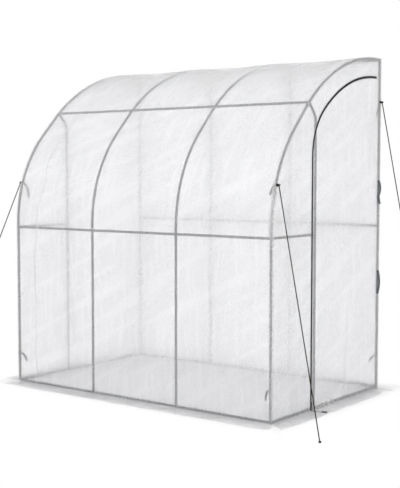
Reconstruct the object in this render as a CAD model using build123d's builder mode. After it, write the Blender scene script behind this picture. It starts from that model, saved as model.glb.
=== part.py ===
"""A lean-to walk-in greenhouse: a bent-tube frame, a film cover, a zipped door flap and guy ropes.

X runs along the wall, +Y points at the wall, +Z is up and the ground is Z = 0. Sizes are in millimetres.
"""

import os
from math import cos, hypot, pi, radians, sin, tan

from build123d import *

os.makedirs("parts", exist_ok=True)

# Frame, between tube centre lines
frame_length = 2000.0  # left end hoop to right end hoop
frame_depth = 1240.0  # front uprights to back posts
bay_count = 3
upright_height = 950.0  # ground to the joint below each bow
bend_rise = 110.0  # joint to the start of the bow's bend
bow_rise = 1040.0  # start of the bend to the top of the bow
lower_turn = 44.0  # degrees turned by the bow's lower arc
bow_link_length = 150.0  # straight stretch between the bow's two arcs
tail_margin = 12.0  # straight bow left beyond the back spigot
mid_rail_rise = 80.0  # joint to the front and end middle rails
back_rail_height = 1050.0
roof_rail_turn = 47.5  # degrees the bow has turned at the roof rail
door_post_lean = 72.6  # roof rail to door posts, crossed by the bent tops of the posts
door_post_bend = 60.0

# Tubes and the spigots that join them
tube_diameter = 16.0
tube_wall = 0.8
tube_sides = 12  # flats that stand for a tube's round outside
bar_sides = 8  # flats that stand for the round section of bores, spigots, pins, ties and ropes
spigot_length = 40.0
spigot_clearance = 0.15
butt_clearance = 0.2
socket_margin = 5.0  # bore left beyond a spigot's tip

# Cover
sheet_thickness = 1.0
cover_gap = 1.2  # tube to sheet, room for the ties
seam_gap = 0.2  # sheet edge to the next sheet
skirt_width = 125.0

# Door and zip
zip_offset = 45.0  # zip to door post
door_drop = 114.0  # top of the bow to the top of the zip
door_shoulder = 506.0  # height of the zip's curved stretch
shoulder_turn = 50.0  # degrees turned by the tighter arc of that stretch
hinge_setback = 55.0  # hinge line to back posts
hinge_gap = 0.5
zip_end = 20.0  # end of the teeth to the hinge line
door_swing = 70.0
flap_lift = 0.5  # flap's skirt to the skirt that it passes over
zip_width = 12.0
zip_gap = 1.6  # between the two rows of teeth
tooth_width = 3.2
tooth_height = 1.6
neck_width = 1.4
neck_height = 1.2
zip_tail = 105.0  # zip tape that lies on the skirt

# Slider and pull
slider_length = 16.0
slider_height = 42.0  # ground to the slider's foot with the zip shut
slider_wall = 0.8
slider_face = 1.0
slider_clearance = 0.3
lip_depth = 0.5
ear_width = 0.9
ear_height = 4.4
pin_radius = 0.7
pin_standoff = 2.4
pull_clearance = 0.3
pull_eye_wall = 0.8
pull_length = 26.0
pull_thickness = 1.4

# Straps, ties and guys
strap_length = 150.0
strap_width = 20.0
strap_bulge = 12.0
strap_thickness = 1.2
strap_seam = 8.0  # sewn length at each end of a strap
strap_heights = (1190.0, 615.0)  # lower ends of the two straps
strap_inset = 24.0  # strap to the sheet's back edge
tie_width = 12.0
tie_thickness = 0.6
tie_clearance = 0.4
tie_tail = 70.0
low_tie_height = 185.0
bow_tie_turn = 18.5
back_tie_drop = 285.0  # top of the back posts to the upper tie
tab_length = 8.0  # sheet to rope
tab_width = 14.0
tab_thickness = 2.0
front_guy_turn = 18.5
back_guy_drop = 265.0  # top of the back posts to the guy rope
rope_diameter = 5.0
knot_radius = 6.0

# Guy rope ends on the ground, measured out from the nearest corner of the frame
left_guy_out, left_guy_forward = 478.0, 225.0
right_guy_out, right_guy_forward = 430.0, 190.0
back_guy_out, back_guy_forward = 402.0, 30.0

# Worked out from the sizes above
tube_radius = tube_diameter / 2
bore_radius = tube_radius - tube_wall
spigot_radius = bore_radius * cos(pi / bar_sides) - spigot_clearance
sheet_inside = tube_radius + cover_gap
sheet_outside = sheet_inside + sheet_thickness
end_x = frame_length / 2
hoop_x = [-end_x + frame_length * i / bay_count for i in range(bay_count + 1)]
back_y = (frame_depth + skirt_width) / 2
front_y = back_y - frame_depth
bend_start = upright_height + bend_rise
roof_height = bend_start + bow_rise
mid_rail_height = upright_height + mid_rail_rise
base_rail_height = tube_radius
bow_tail = tube_radius + spigot_length + tail_margin
socket_depth = spigot_length + socket_margin

# The bow's two radii follow from the width and height that they have to cross
turn_cos, turn_sin = cos(radians(lower_turn)), sin(radians(lower_turn))
arc_run = frame_depth - bow_tail - bow_link_length * turn_sin
arc_rise = bow_rise - bow_link_length * turn_cos
arc_scale = (1 - turn_cos) * (1 - turn_sin) - turn_sin * turn_cos
lower_radius = (arc_run * (1 - turn_sin) - arc_rise * turn_cos) / arc_scale
upper_radius = (arc_rise * (1 - turn_cos) - arc_run * turn_sin) / arc_scale


def keep(builder, name):
    """Labels a finished piece and writes its file."""
    builder.part.label = name
    export_step(builder.part, f"parts/{name}.step")


def bow_point(turn):
    """Y and Z of the bow's centre line where it has turned by this many degrees."""
    c, s = cos(radians(turn)), sin(radians(turn))
    if turn <= lower_turn:
        return front_y + lower_radius * (1 - c), bend_start + lower_radius * s
    return back_y - bow_tail - upper_radius * c, roof_height - upper_radius * (1 - s)


# Door outline
roof_rail_y, roof_rail_z = bow_point(roof_rail_turn)
door_post_y = roof_rail_y + door_post_lean
zip_y = door_post_y - zip_offset
hinge_y = back_y - hinge_setback
zip_top = roof_height - door_drop
shoulder_start = zip_top - door_shoulder
shoulder_cos, shoulder_sin = cos(radians(shoulder_turn)), sin(radians(shoulder_turn))
shoulder_run = hinge_y - zip_end - zip_y
shoulder_growth = (shoulder_run - door_shoulder) / (shoulder_cos + shoulder_sin - 1)
shoulder_radius = shoulder_run - shoulder_growth * shoulder_cos
crown_radius = shoulder_radius + shoulder_growth
zip_half = zip_width / 2
row_offset = (zip_gap + tooth_width) / 2
end_face = end_x + sheet_outside
flap_bottom = sheet_thickness + flap_lift


def bow_frame(x, turn):
    """Plane across the bow's centre line, with its normal along the bow and its X pointing indoors."""
    y, z = bow_point(turn)
    c, s = cos(radians(turn)), sin(radians(turn))
    return Plane(origin=(x, y, z), x_dir=(0, c, -s), z_dir=(0, s, c))


def arch(offset, bottom, tail):
    """Draws the bow's line, this far outside its centre, from a height at the front to the back."""
    wall = Line((front_y - offset, bottom), (front_y - offset, bend_start))
    lower = JernArc(wall @ 1, wall % 1, lower_radius + offset, -lower_turn)
    link = PolarLine(lower @ 1, bow_link_length, direction=lower % 1)
    upper = JernArc(link @ 1, link % 1, upper_radius + offset, lower_turn - 90)
    return wall, Line(upper @ 1, (back_y + tail, roof_height + offset))


def door_line(offset, bottom, tail):
    """Draws the zip's line, this far outside its middle, from a height at the bottom to the hinge."""
    side = Line((zip_y - offset, bottom), (zip_y - offset, shoulder_start))
    shoulder = JernArc(side @ 1, side % 1, shoulder_radius + offset, -shoulder_turn)
    crown = JernArc(shoulder @ 1, shoulder % 1, crown_radius + offset, shoulder_turn - 90)
    if tail:
        return side, PolarLine(crown @ 1, tail, direction=crown % 1)
    return side, crown


def flat_round(radius, sides, mode=Mode.ADD):
    """Draws a round outline of flats, with one at its full radius on each axis of the sketch."""
    RegularPolygon(radius, sides, major_radius=False, rotation=180 / sides, mode=mode)


def straight_tube(plane, length):
    """Adds a straight tube, still solid, along a plane's normal."""
    with BuildSketch(plane) as section:
        flat_round(tube_radius, tube_sides)
    extrude(section.sketch, amount=length)


def round_bar(plane, radius, length, mode=Mode.ADD):
    """Adds a thin bar, or cuts a bore, along a plane's normal."""
    with BuildSketch(plane) as section:
        RegularPolygon(radius, bar_sides)
    extrude(section.sketch, amount=length, mode=mode)


def spigots(point, directions):
    """Adds spigots that stand out of a tube at a point of its centre line."""
    for direction in directions:
        round_bar(Plane(origin=point, z_dir=direction), spigot_radius, tube_radius + spigot_length)


def rail_sides(i):
    """Directions along X in which a hoop has a neighbour."""
    return [(-1, 0, 0)] * (i > 0) + [(1, 0, 0)] * (i < bay_count)


def is_end(i):
    """Whether a hoop stands at one end of the frame."""
    return i in (0, bay_count)


def make_upright(i):
    """A front upright, with spigots for the base rails and a swaged top for the bow."""
    with BuildPart() as upright:
        straight_tube(Plane((hoop_x[i], front_y, 0)), upright_height)
        round_bar(Plane((hoop_x[i], front_y, upright_height)), spigot_radius, spigot_length)
        spigots((hoop_x[i], front_y, base_rail_height), rail_sides(i) + [(0, 1, 0)] * is_end(i))
        round_bar(Plane((hoop_x[i], front_y, 0)), bore_radius, upright_height - tube_wall, Mode.SUBTRACT)
    keep(upright, f"front_upright_{i + 1}")


def make_bow(i):
    """A roof bow, swept along its line, with spigots for the middle and roof rails."""
    with BuildLine(Plane.YZ.offset(hoop_x[i])) as line:
        arch(0, upright_height + butt_clearance, -tube_radius - butt_clearance)
    foot = Plane((hoop_x[i], front_y, upright_height + butt_clearance))
    roof_joint = bow_frame(hoop_x[i], roof_rail_turn)
    with BuildPart() as bow:
        with BuildSketch(foot):
            flat_round(tube_radius, tube_sides)
        sweep(path=line.wires()[0])
        spigots((hoop_x[i], front_y, mid_rail_height), rail_sides(i) + [(0, 1, 0)] * is_end(i))
        spigots(roof_joint.origin, rail_sides(i) + [roof_joint.x_dir] * is_end(i))
        round_bar(foot, bore_radius, socket_depth, Mode.SUBTRACT)
        tail = Plane((hoop_x[i], back_y - tube_radius - butt_clearance, roof_height), z_dir=(0, -1, 0))
        round_bar(tail, bore_radius, socket_depth, Mode.SUBTRACT)
    keep(bow, f"roof_bow_{i + 1}")


def make_back_post(i):
    """A back post, with spigots for the bow and for three rows of rails."""
    foot = Plane((hoop_x[i], back_y, 0))
    with BuildPart() as post:
        straight_tube(foot, roof_height + tube_radius)
        spigots((hoop_x[i], back_y, base_rail_height), rail_sides(i) + [(0, -1, 0)] * is_end(i))
        spigots((hoop_x[i], back_y, back_rail_height), rail_sides(i))
        spigots((hoop_x[i], back_y, roof_height), rail_sides(i) + [(0, -1, 0)])
        round_bar(foot, bore_radius, roof_height + tube_radius - tube_wall, Mode.SUBTRACT)
    keep(post, f"back_post_{i + 1}")


def make_rail(name, start, end):
    """A straight rail between two tubes, short of their centre lines at both ends."""
    run = Vector(*end) - Vector(*start)
    margin = tube_radius + butt_clearance
    with BuildPart() as rail:
        with BuildSketch(Plane(origin=start, z_dir=run).offset(margin)):
            flat_round(tube_radius, tube_sides)
            RegularPolygon(bore_radius, bar_sides, mode=Mode.SUBTRACT)
        extrude(amount=run.length - 2 * margin)
    keep(rail, name)


def make_bay_rails(name, y, z):
    """One rail in each bay, at a height along a row of hoops."""
    for i in range(bay_count):
        make_rail(f"{name}_{i + 1}", (hoop_x[i], y, z), (hoop_x[i + 1], y, z))


def make_door_post(side, x):
    """A door post whose top bends forward, square onto the end bow at the roof rail."""
    bend_z = roof_rail_z - door_post_lean * tan(radians(roof_rail_turn))
    seat = bow_frame(x, roof_rail_turn)
    top = seat.origin + seat.x_dir * (tube_radius + butt_clearance)
    with BuildLine() as line:
        FilletPolyline((x, door_post_y, 0), (x, door_post_y, bend_z), top, radius=door_post_bend)
    foot = Plane((x, door_post_y, 0))
    with BuildPart() as post:
        with BuildSketch(foot):
            flat_round(tube_radius, tube_sides)
        sweep(path=line.wires()[0])
        spigots((x, door_post_y, base_rail_height), [(0, -1, 0), (0, 1, 0)])
        spigots((x, door_post_y, mid_rail_height), [(0, -1, 0)])
        round_bar(foot, bore_radius, mid_rail_height, Mode.SUBTRACT)
        round_bar(Plane(origin=top, z_dir=seat.x_dir), bore_radius, socket_depth, Mode.SUBTRACT)
    keep(post, f"{side}_door_post")


def make_front_sheet():
    """The front and roof sheet: a thin band round the bows that folds out into the front skirt."""
    skirt_edge = front_y - sheet_outside - skirt_width
    with BuildPart() as sheet:
        with BuildSketch(Plane.YZ.offset(-end_face)):
            with BuildLine():
                inner_wall, inner_tail = arch(sheet_inside, 0, sheet_outside)
                outer_wall, outer_tail = arch(sheet_outside, sheet_thickness, sheet_outside)
                Line(inner_tail @ 1, outer_tail @ 1)
                Polyline(outer_wall @ 0, (skirt_edge, sheet_thickness), (skirt_edge, 0), inner_wall @ 0)
            make_face()
        extrude(amount=2 * end_face)
    keep(sheet, "cover_front_and_roof")


def end_outline():
    """Fills the arch that an end sheet covers, just inside the front, roof and back sheets."""
    edge = sheet_inside - seam_gap
    with BuildLine() as outline:
        wall, tail = arch(edge, 0, edge)
        Polyline(tail @ 1, (back_y + edge, 0), wall @ 0)
    make_face(outline.edges())


def end_skirt(x, y_from, y_to):
    """Adds a strip of skirt on the ground outside an end sheet, between two places along Y."""
    with BuildSketch(Plane.XY) as strip:
        with Locations((x, (y_from + y_to) / 2)):
            Rectangle(skirt_width, y_to - y_from)
    extrude(strip.sketch, amount=sheet_thickness)


def make_left_end():
    """The left end sheet and its skirt."""
    edge = sheet_inside - seam_gap
    with BuildPart() as sheet:
        with BuildSketch(Plane.YZ.offset(-end_face)):
            end_outline()
        extrude(amount=sheet_thickness)
        end_skirt(-end_face - skirt_width / 2, front_y - edge, back_y + edge)
    keep(sheet, "cover_left_end")


def make_right_end():
    """The right end sheet, cut away for the door, with skirts in front of and behind the doorway."""
    edge = sheet_inside - seam_gap
    with BuildPart() as sheet:
        with BuildSketch(Plane.YZ.offset(end_x + sheet_inside)):
            end_outline()
            with BuildLine():
                side, crown = door_line(zip_half, 0, zip_end)
                Polyline(crown @ 1, (hinge_y, 0), side @ 0)
            make_face(mode=Mode.SUBTRACT)
        extrude(amount=sheet_thickness)
        end_skirt(end_face + skirt_width / 2, front_y - edge, zip_y - zip_half)
        end_skirt(end_face + skirt_width / 2, hinge_y, back_y + edge)
    keep(sheet, "cover_right_end")


def make_back_sheet():
    """The flat back sheet, under the roof sheet's back edge."""
    with BuildPart() as sheet:
        with BuildSketch(Plane.XY):
            with Locations((0, back_y + sheet_inside + sheet_thickness / 2)):
                Rectangle(2 * end_face, sheet_thickness)
        extrude(amount=roof_height + sheet_inside)
    keep(sheet, "cover_back")


def make_door_flap():
    """The door flap. Its skirt is cut back at the hinge so that it stays off the wall when open."""
    flap_edge = hinge_y - hinge_gap
    wall_room = back_y + sheet_outside - hinge_y
    near = min(skirt_width, wall_room / sin(radians(door_swing)))
    cut = max(0, skirt_width * sin(radians(door_swing)) - wall_room) / cos(radians(door_swing))
    with BuildPart() as flap:
        with BuildSketch(Plane.YZ.offset(end_x + sheet_inside)):
            with BuildLine():
                side, crown = door_line(-zip_half, flap_bottom, zip_end - hinge_gap)
                Polyline(crown @ 1, (flap_edge, flap_bottom), side @ 0)
            make_face()
        extrude(amount=sheet_thickness)
        with BuildSketch(Plane.XY.offset(flap_bottom)):
            with BuildLine():
                Polyline(
                    (end_face, flap_edge),
                    (end_face + near, flap_edge),
                    (end_face + skirt_width, flap_edge - cut),
                    (end_face + skirt_width, zip_y + zip_half),
                    (end_face, zip_y + zip_half),
                    close=True,
                )
            make_face()
        extrude(amount=sheet_thickness)
    keep(flap, "door_flap")


def zip_strip(inner, outer, bottom, tail, x, height):
    """Adds a strip that follows the zip between two offsets from its middle."""
    with BuildSketch(Plane.YZ.offset(x)) as strip:
        with BuildLine():
            side_a, crown_a = door_line(inner, bottom, tail)
            side_b, crown_b = door_line(outer, bottom, tail)
            Line(side_a @ 0, side_b @ 0)
            Line(crown_a @ 1, crown_b @ 1)
        make_face()
    extrude(strip.sketch, amount=height)


def zip_row(side, bottom, tail):
    """Adds one half of the zip: its tape, and its teeth as a T-shaped rail."""
    low_edge, high_edge = sorted((side * zip_gap / 2, side * zip_half))
    zip_strip(low_edge, high_edge, bottom, tail, end_x + sheet_inside, sheet_thickness)
    neck = (side * row_offset - neck_width / 2, side * row_offset + neck_width / 2)
    zip_strip(*neck, bottom, 0, end_face, neck_height)
    teeth = (side * row_offset - tooth_width / 2, side * row_offset + tooth_width / 2)
    zip_strip(*teeth, bottom, 0, end_face + neck_height, tooth_height)


def make_zip_rows():
    """The row of teeth on the end sheet, with its tail along the skirt, and the row on the door flap."""
    with BuildPart() as fixed:
        zip_row(1, 0, zip_end)
        with BuildSketch(Plane.XY):
            with Locations((end_face + zip_tail / 2, zip_y - (zip_half + zip_gap / 2) / 2)):
                Rectangle(zip_tail, zip_half - zip_gap / 2)
        extrude(amount=sheet_thickness)
    keep(fixed, "zip_row_fixed")
    with BuildPart() as moving:
        zip_row(-1, flap_bottom, zip_end - hinge_gap)
    keep(moving, "zip_row_door")


tooth_top = neck_height + tooth_height
slider_inside = tooth_width / 2 + slider_clearance
slider_half = slider_inside + slider_wall
slider_front = end_face + tooth_top + slider_clearance + slider_face
slider_y = zip_y - row_offset
pin_z = slider_height + slider_length / 2
pin_x = slider_front + pin_standoff


def pin_plane(half_width):
    """Plane across the pull's pin, this far to the near side of its middle."""
    return Plane((pin_x, slider_y - half_width, pin_z), z_dir=(0, 1, 0))


def make_slider():
    """The zip slider: a channel that grips one row of teeth, with two ears and a pin for the pull."""
    back = end_face + neck_height - slider_clearance - lip_depth
    with BuildPart() as slider:
        with BuildSketch(Plane.XY.offset(slider_height)):
            with Locations(((back + slider_front) / 2, slider_y)):
                Rectangle(slider_front - back, 2 * slider_half)
            with Locations((end_face + neck_height + tooth_height / 2, slider_y)):
                Rectangle(tooth_height + 2 * slider_clearance, 2 * slider_inside, mode=Mode.SUBTRACT)
            with Locations((back + lip_depth / 2, slider_y)):
                Rectangle(lip_depth, neck_width + 2 * slider_clearance, mode=Mode.SUBTRACT)
        extrude(amount=slider_length)
        with BuildSketch(Plane.XY.offset(pin_z - ear_height / 2)):
            ear_run = pin_standoff + pin_radius + slider_wall
            for ear_side in (-1, 1):
                ear_y = slider_y + ear_side * (slider_half - ear_width / 2)
                with Locations((slider_front + ear_run / 2, ear_y)):
                    Rectangle(ear_run, ear_width)
        extrude(amount=ear_height)
        round_bar(pin_plane(slider_half), pin_radius, 2 * slider_half)
    keep(slider, "zip_slider")


def make_pull():
    """The slider's pull, a flat tab that hangs from an eye round the pin."""
    eye = pin_radius + pull_clearance
    eye_half = slider_half - ear_width - pull_clearance
    shoulder = pin_z - hypot(pin_radius + slider_wall, ear_height / 2) - pull_clearance
    with BuildPart() as pull:
        round_bar(pin_plane(eye_half), eye + pull_eye_wall, 2 * eye_half)
        with BuildSketch(Plane.YZ.offset(pin_x - pull_thickness / 2)):
            with Locations((slider_y, (pin_z + shoulder) / 2)):
                Rectangle(2 * eye_half, pin_z - shoulder)
            with Locations((slider_y, shoulder)):
                Rectangle(2 * slider_half, pull_length, align=(Align.CENTER, Align.MAX))
        extrude(amount=pull_thickness)
        fillet(pull.edges().filter_by(Axis.X).group_by(Axis.Z)[0], radius=slider_half / 2)
        round_bar(pin_plane(slider_half), eye, 2 * slider_half, Mode.SUBTRACT)
    keep(pull, "zip_pull")


def make_straps():
    """Two ribbon loops on the door's back edge, which hold the flap when it is rolled back."""
    strap_y = back_y + sheet_inside - seam_gap - strap_inset
    with BuildPart() as straps:
        for foot in strap_heights:
            with BuildSketch(Plane.XZ.offset(-strap_y - strap_width / 2)):
                with BuildLine():
                    top = foot + strap_length
                    outer = SagittaArc((end_face, top), (end_face, foot), strap_bulge)
                    inner_top, inner_foot = top - strap_seam, foot + strap_seam
                    inner_bulge = strap_bulge - strap_thickness
                    inner = SagittaArc((end_face, inner_top), (end_face, inner_foot), inner_bulge)
                    Line(outer @ 0, inner @ 0)
                    Line(outer @ 1, inner @ 1)
                make_face()
            extrude(amount=strap_width)
    keep(straps, "door_straps")


def add_tie(plane):
    """Adds a ribbon tied round a tube, with a tail on the side that the plane's X points to."""
    inner = tube_radius + tie_clearance
    with BuildSketch(plane.offset(-tie_width / 2)) as ring:
        flat_round(inner + tie_thickness, bar_sides)
        flat_round(inner, bar_sides, Mode.SUBTRACT)
    extrude(ring.sketch, amount=tie_width)
    hang = Plane(origin=plane.origin + plane.x_dir * inner, x_dir=(0, plane.x_dir.Y, 0), z_dir=(0, 0, 1))
    with BuildSketch(hang) as tail:
        Rectangle(tie_thickness, tie_width, align=(Align.MIN, Align.CENTER))
    extrude(tail.sketch, amount=-tie_tail)


def make_ties():
    """The ribbons that hold the cover to the end hoops and to the back right post."""
    with BuildPart() as ties:
        for x in (-end_x, end_x):
            add_tie(Plane((x, front_y, low_tie_height), x_dir=(0, 1, 0), z_dir=(0, 0, 1)))
            add_tie(bow_frame(x, bow_tie_turn))
        for z in (low_tie_height, roof_height - back_tie_drop):
            add_tie(Plane((end_x, back_y, z), x_dir=(0, -1, 0), z_dir=(0, 0, 1)))
    keep(ties, "cover_ties")


def make_guy(name, seat, side, ground):
    """A webbing tab on an end sheet, and its rope from the tab to a knot on the ground."""
    root = seat.origin + Vector(side * sheet_outside, 0, 0)
    tab_root = Plane(origin=root, x_dir=seat.z_dir, z_dir=(side, 0, 0))
    with BuildPart() as tab:
        with BuildSketch(tab_root):
            Rectangle(tab_width, tab_thickness)
        extrude(amount=tab_length)
    keep(tab, f"guy_tab_{name}")

    tip = tab_root.offset(tab_length)
    knot = tip.origin + Vector(side * knot_radius / 2, 0, 0)
    end = Vector(*ground, knot_radius)
    run = end - knot
    with BuildPart() as rope:
        round_bar(Plane(origin=knot, z_dir=run), rope_diameter / 2, run.length)
        round_bar(tip, knot_radius, knot_radius)
        round_bar(Plane((*ground, 0)), knot_radius, 2 * knot_radius)
    keep(rope, f"guy_rope_{name}")
    print(f"guy rope {name}: {run.length:.0f} mm from knot to knot")


for hoop in range(bay_count + 1):
    make_upright(hoop)
    make_bow(hoop)
    make_back_post(hoop)

make_bay_rails("front_base_rail", front_y, base_rail_height)
make_bay_rails("front_mid_rail", front_y, mid_rail_height)
make_bay_rails("roof_rail", roof_rail_y, roof_rail_z)
make_bay_rails("back_base_rail", back_y, base_rail_height)
make_bay_rails("back_mid_rail", back_y, back_rail_height)
make_bay_rails("back_top_rail", back_y, roof_height)

for side, x in (("left", -end_x), ("right", end_x)):
    make_door_post(side, x)
    door_foot = (x, door_post_y, base_rail_height)
    make_rail(f"{side}_base_rail_front", (x, front_y, base_rail_height), door_foot)
    make_rail(f"{side}_base_rail_back", door_foot, (x, back_y, base_rail_height))
    make_rail(f"{side}_mid_rail", (x, front_y, mid_rail_height), (x, door_post_y, mid_rail_height))

make_front_sheet()
make_left_end()
make_right_end()
make_back_sheet()
make_door_flap()
make_zip_rows()
make_slider()
make_pull()
make_straps()
make_ties()

back_guy_point = (end_x, back_y, roof_height - back_guy_drop)
back_guy_seat = Plane(back_guy_point, x_dir=(0, -1, 0), z_dir=(0, 0, 1))
left_ground = (-end_x - left_guy_out, front_y - left_guy_forward)
right_ground = (end_x + right_guy_out, front_y - right_guy_forward)
back_ground = (end_x + back_guy_out, back_y - back_guy_forward)
make_guy("front_left", bow_frame(-end_x, front_guy_turn), -1, left_ground)
make_guy("front_right", bow_frame(end_x, front_guy_turn), 1, right_ground)
make_guy("back_right", back_guy_seat, 1, back_ground)
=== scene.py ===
# %% [markdown]
# # A lean-to greenhouse of tube and film
# The real object is a walk-in greenhouse that leans on a wall: four bent-tube hoops, rails between them,
# a cover of pale film with a net of threads in it, a zipped door in the right end, and guy ropes to the
# ground. A solid model of it is already packed, with a hinged door and a sliding zip. This lesson loads
# that model as a fixed frame and dresses it: each new piece sits where its solid is, and rides on the
# same body.

import bpy
import numpy as np
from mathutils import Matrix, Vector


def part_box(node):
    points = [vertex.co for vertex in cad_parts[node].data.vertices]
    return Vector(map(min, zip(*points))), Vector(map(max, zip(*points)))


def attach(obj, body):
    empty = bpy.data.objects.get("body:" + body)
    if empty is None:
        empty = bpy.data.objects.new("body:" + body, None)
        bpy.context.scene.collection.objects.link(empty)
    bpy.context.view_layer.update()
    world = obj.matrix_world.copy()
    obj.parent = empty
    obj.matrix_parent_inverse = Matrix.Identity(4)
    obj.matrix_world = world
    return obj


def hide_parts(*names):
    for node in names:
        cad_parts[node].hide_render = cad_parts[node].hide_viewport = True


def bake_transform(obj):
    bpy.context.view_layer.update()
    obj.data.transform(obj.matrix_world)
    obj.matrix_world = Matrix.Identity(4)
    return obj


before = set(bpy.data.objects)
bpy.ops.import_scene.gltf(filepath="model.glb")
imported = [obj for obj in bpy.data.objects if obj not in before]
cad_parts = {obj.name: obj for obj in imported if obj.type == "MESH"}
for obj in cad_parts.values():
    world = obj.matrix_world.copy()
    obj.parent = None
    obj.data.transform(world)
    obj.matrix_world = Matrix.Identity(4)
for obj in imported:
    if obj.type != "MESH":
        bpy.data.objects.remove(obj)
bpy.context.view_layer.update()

scene = bpy.context.scene
scene.view_settings.view_transform = "Standard"

# %% [markdown]
# ## The viewpoint
# The photograph was taken from the right and a little above half height, with a long lens, so that the
# front and the right end both show and upright tubes stay upright. A camera could be placed by eye, but
# its place, turn and focal length were worked out from the corners of the frame, so it is set from those
# numbers.

# %% Camera
camera_place = (4.1336, -5.3218, 1.3959)
camera_yaw, camera_pitch = 0.6501, -0.0694  # radians
lens_length = 76.87  # millimetres, on a 36 mm long side

camera_data = bpy.data.cameras.new("photo_camera")
camera_data.lens = lens_length
camera = bpy.data.objects.new("photo_camera", camera_data)
camera.location = camera_place
camera.rotation_euler = (np.pi / 2 + camera_pitch, 0, camera_yaw)
scene.collection.objects.link(camera)
scene.camera = camera
print("camera at", camera_place)

# %% [markdown]
# ## Node helpers
# Materials here are small networks of nodes. Adding each node by hand takes many lines, so one helper
# makes a node and fills its inputs, either with a value or with another node's output. The kinds that
# come up most, such as sums, ranges and noise, have a short helper each, which gives that node's output.

# %% Making and linking nodes
SHORT_NAMES = {
    "colour": "Base Color", "rough": "Roughness", "metal": "Metallic", "alpha": "Alpha", "normal": "Normal",
    "through": "Transmission Weight",
}


def put(tree, kind, inputs=None, **settings):
    """Adds a shader node of a kind, and fills its inputs with values or with other nodes' outputs."""
    node = tree.nodes.new("ShaderNode" + kind)
    for key, value in settings.items():
        setattr(node, key, value)
    for key, value in (inputs or {}).items():
        if isinstance(value, bpy.types.NodeSocket):
            tree.links.new(value, node.inputs[key])
        else:
            node.inputs[key].default_value = value
    return node


def feed(tree, node, **sockets):
    """Links outputs to the inputs of a node, which may go by their short names."""
    for key, socket in sockets.items():
        tree.links.new(socket, node.inputs[SHORT_NAMES.get(key, key)])


print("helpers: put and feed")

# %% Sums, vectors and ranges


def number(tree, operation, *inputs, **settings):
    """A Math node's output."""
    return put(tree, "Math", dict(enumerate(inputs)), operation=operation, **settings).outputs[0]


def vector(tree, operation, *inputs):
    """A Vector Math node's output: a number for a dot product, and a vector for the rest."""
    node = put(tree, "VectorMath", dict(enumerate(inputs)), operation=operation)
    return node.outputs["Value" if operation == "DOT_PRODUCT" else "Vector"]


def parts_of(tree, given):
    """The X, Y and Z outputs that take a vector apart."""
    return put(tree, "SeparateXYZ", {0: given}).outputs


def mapped(tree, value, start=(0, 1), end=(0, 1), smooth=False):
    """A Map Range node's output: a value's place in one range is carried over to another."""
    ranges = {"From Min": start[0], "From Max": start[1], "To Min": end[0], "To Max": end[1]}
    easing = "SMOOTHSTEP" if smooth else "LINEAR"
    return put(tree, "MapRange", {"Value": value, **ranges}, interpolation_type=easing).outputs[0]


print("helpers: number, vector, parts_of and mapped")

# %% Textures, colours and places


def noise(tree, place, scale, detail=2.0):
    """A Noise Texture node's output, a soft random value about one half."""
    return put(tree, "TexNoise", {"Vector": place, "Scale": scale, "Detail": detail}).outputs["Fac"]


def mix(tree, share, one, other):
    """A colour between two others."""
    return put(tree, "MixRGB", {"Fac": share, "Color1": one, "Color2": other}).outputs[0]


def bump(tree, height, strength, distance):
    """A Bump node's output: normals tilted by the slope of a height."""
    return put(tree, "Bump", {"Height": height, "Strength": strength, "Distance": distance}).outputs[0]


def object_place(tree):
    """A point's place on the piece, in metres."""
    return put(tree, "TexCoord").outputs["Object"]


def cloth_place(tree):
    """A point's place on the piece's own UV map, which is in metres too."""
    return put(tree, "UVMap", uv_map="cloth").outputs[0]


def attribute(tree, name):
    """A number that the mesh carries at each of its points."""
    return put(tree, "Attribute", attribute_name=name).outputs["Fac"]


print("helpers: noise, mix, bump, object_place, cloth_place and attribute")

# %% Helpers for finishes and groups


def new_finish(name, **constants):
    """A material with one Principled shader, whose plain numbers are set straight on its sockets."""
    finish = bpy.data.materials.new(name)
    finish.use_nodes = True
    tree = finish.node_tree
    tree.nodes.clear()
    shader = put(tree, "BsdfPrincipled", {SHORT_NAMES.get(k, k): v for k, v in constants.items()})
    put(tree, "OutputMaterial", {"Surface": shader.outputs[0]})
    return finish, tree, shader


def new_group(name, numbers, results):
    """A node group from a vector and named numbers to named results: its tree, inputs and end node."""
    tree = bpy.data.node_groups.new(name, "ShaderNodeTree")
    tree.interface.new_socket("Vector", in_out="INPUT", socket_type="NodeSocketVector")
    for socket, value in numbers.items():
        made = tree.interface.new_socket(socket, in_out="INPUT", socket_type="NodeSocketFloat")
        made.default_value = value
    for socket in results:
        tree.interface.new_socket(socket, in_out="OUTPUT", socket_type="NodeSocketFloat")
    return tree, tree.nodes.new("NodeGroupInput").outputs, tree.nodes.new("NodeGroupOutput")


def placed(tree, group, **inputs):
    """The outputs of a node group that is placed in a material with its own values."""
    return put(tree, "Group", inputs, node_tree=group).outputs


print("helpers: new_finish, new_group and placed")

# %% [markdown]
# ## Floor, backdrop and light
# The photograph has a white surround with hardly any shadow. More lamps would bleach the film, so the
# light on the object stays plain: a soft sky, one broad lamp in front and one at the right. The floor and
# the sky are lifted to white only for rays that come from the camera, off a glossy surface or through
# glass. The floor under the house isn't lifted, so that it still takes the shadow.

# %% Floor
floor_size = 60.0
floor_drop = 0.0005  # the floor lies this far under the object
floor_middle, floor_half = (0, 0.0625, 0), (1.01, 0.63, 0)  # the floor under the house
floor_fade = 0.20  # the floor goes to white over this distance from the house


def seen_rays(tree):
    """1 for rays from the camera, off a glossy surface or through glass, and 0 for the rest of the light."""
    path = put(tree, "LightPath").outputs
    seen = number(tree, "MAXIMUM", path["Is Camera Ray"], path["Is Glossy Ray"])
    return number(tree, "MAXIMUM", seen, path["Is Transmission Ray"])


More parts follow.
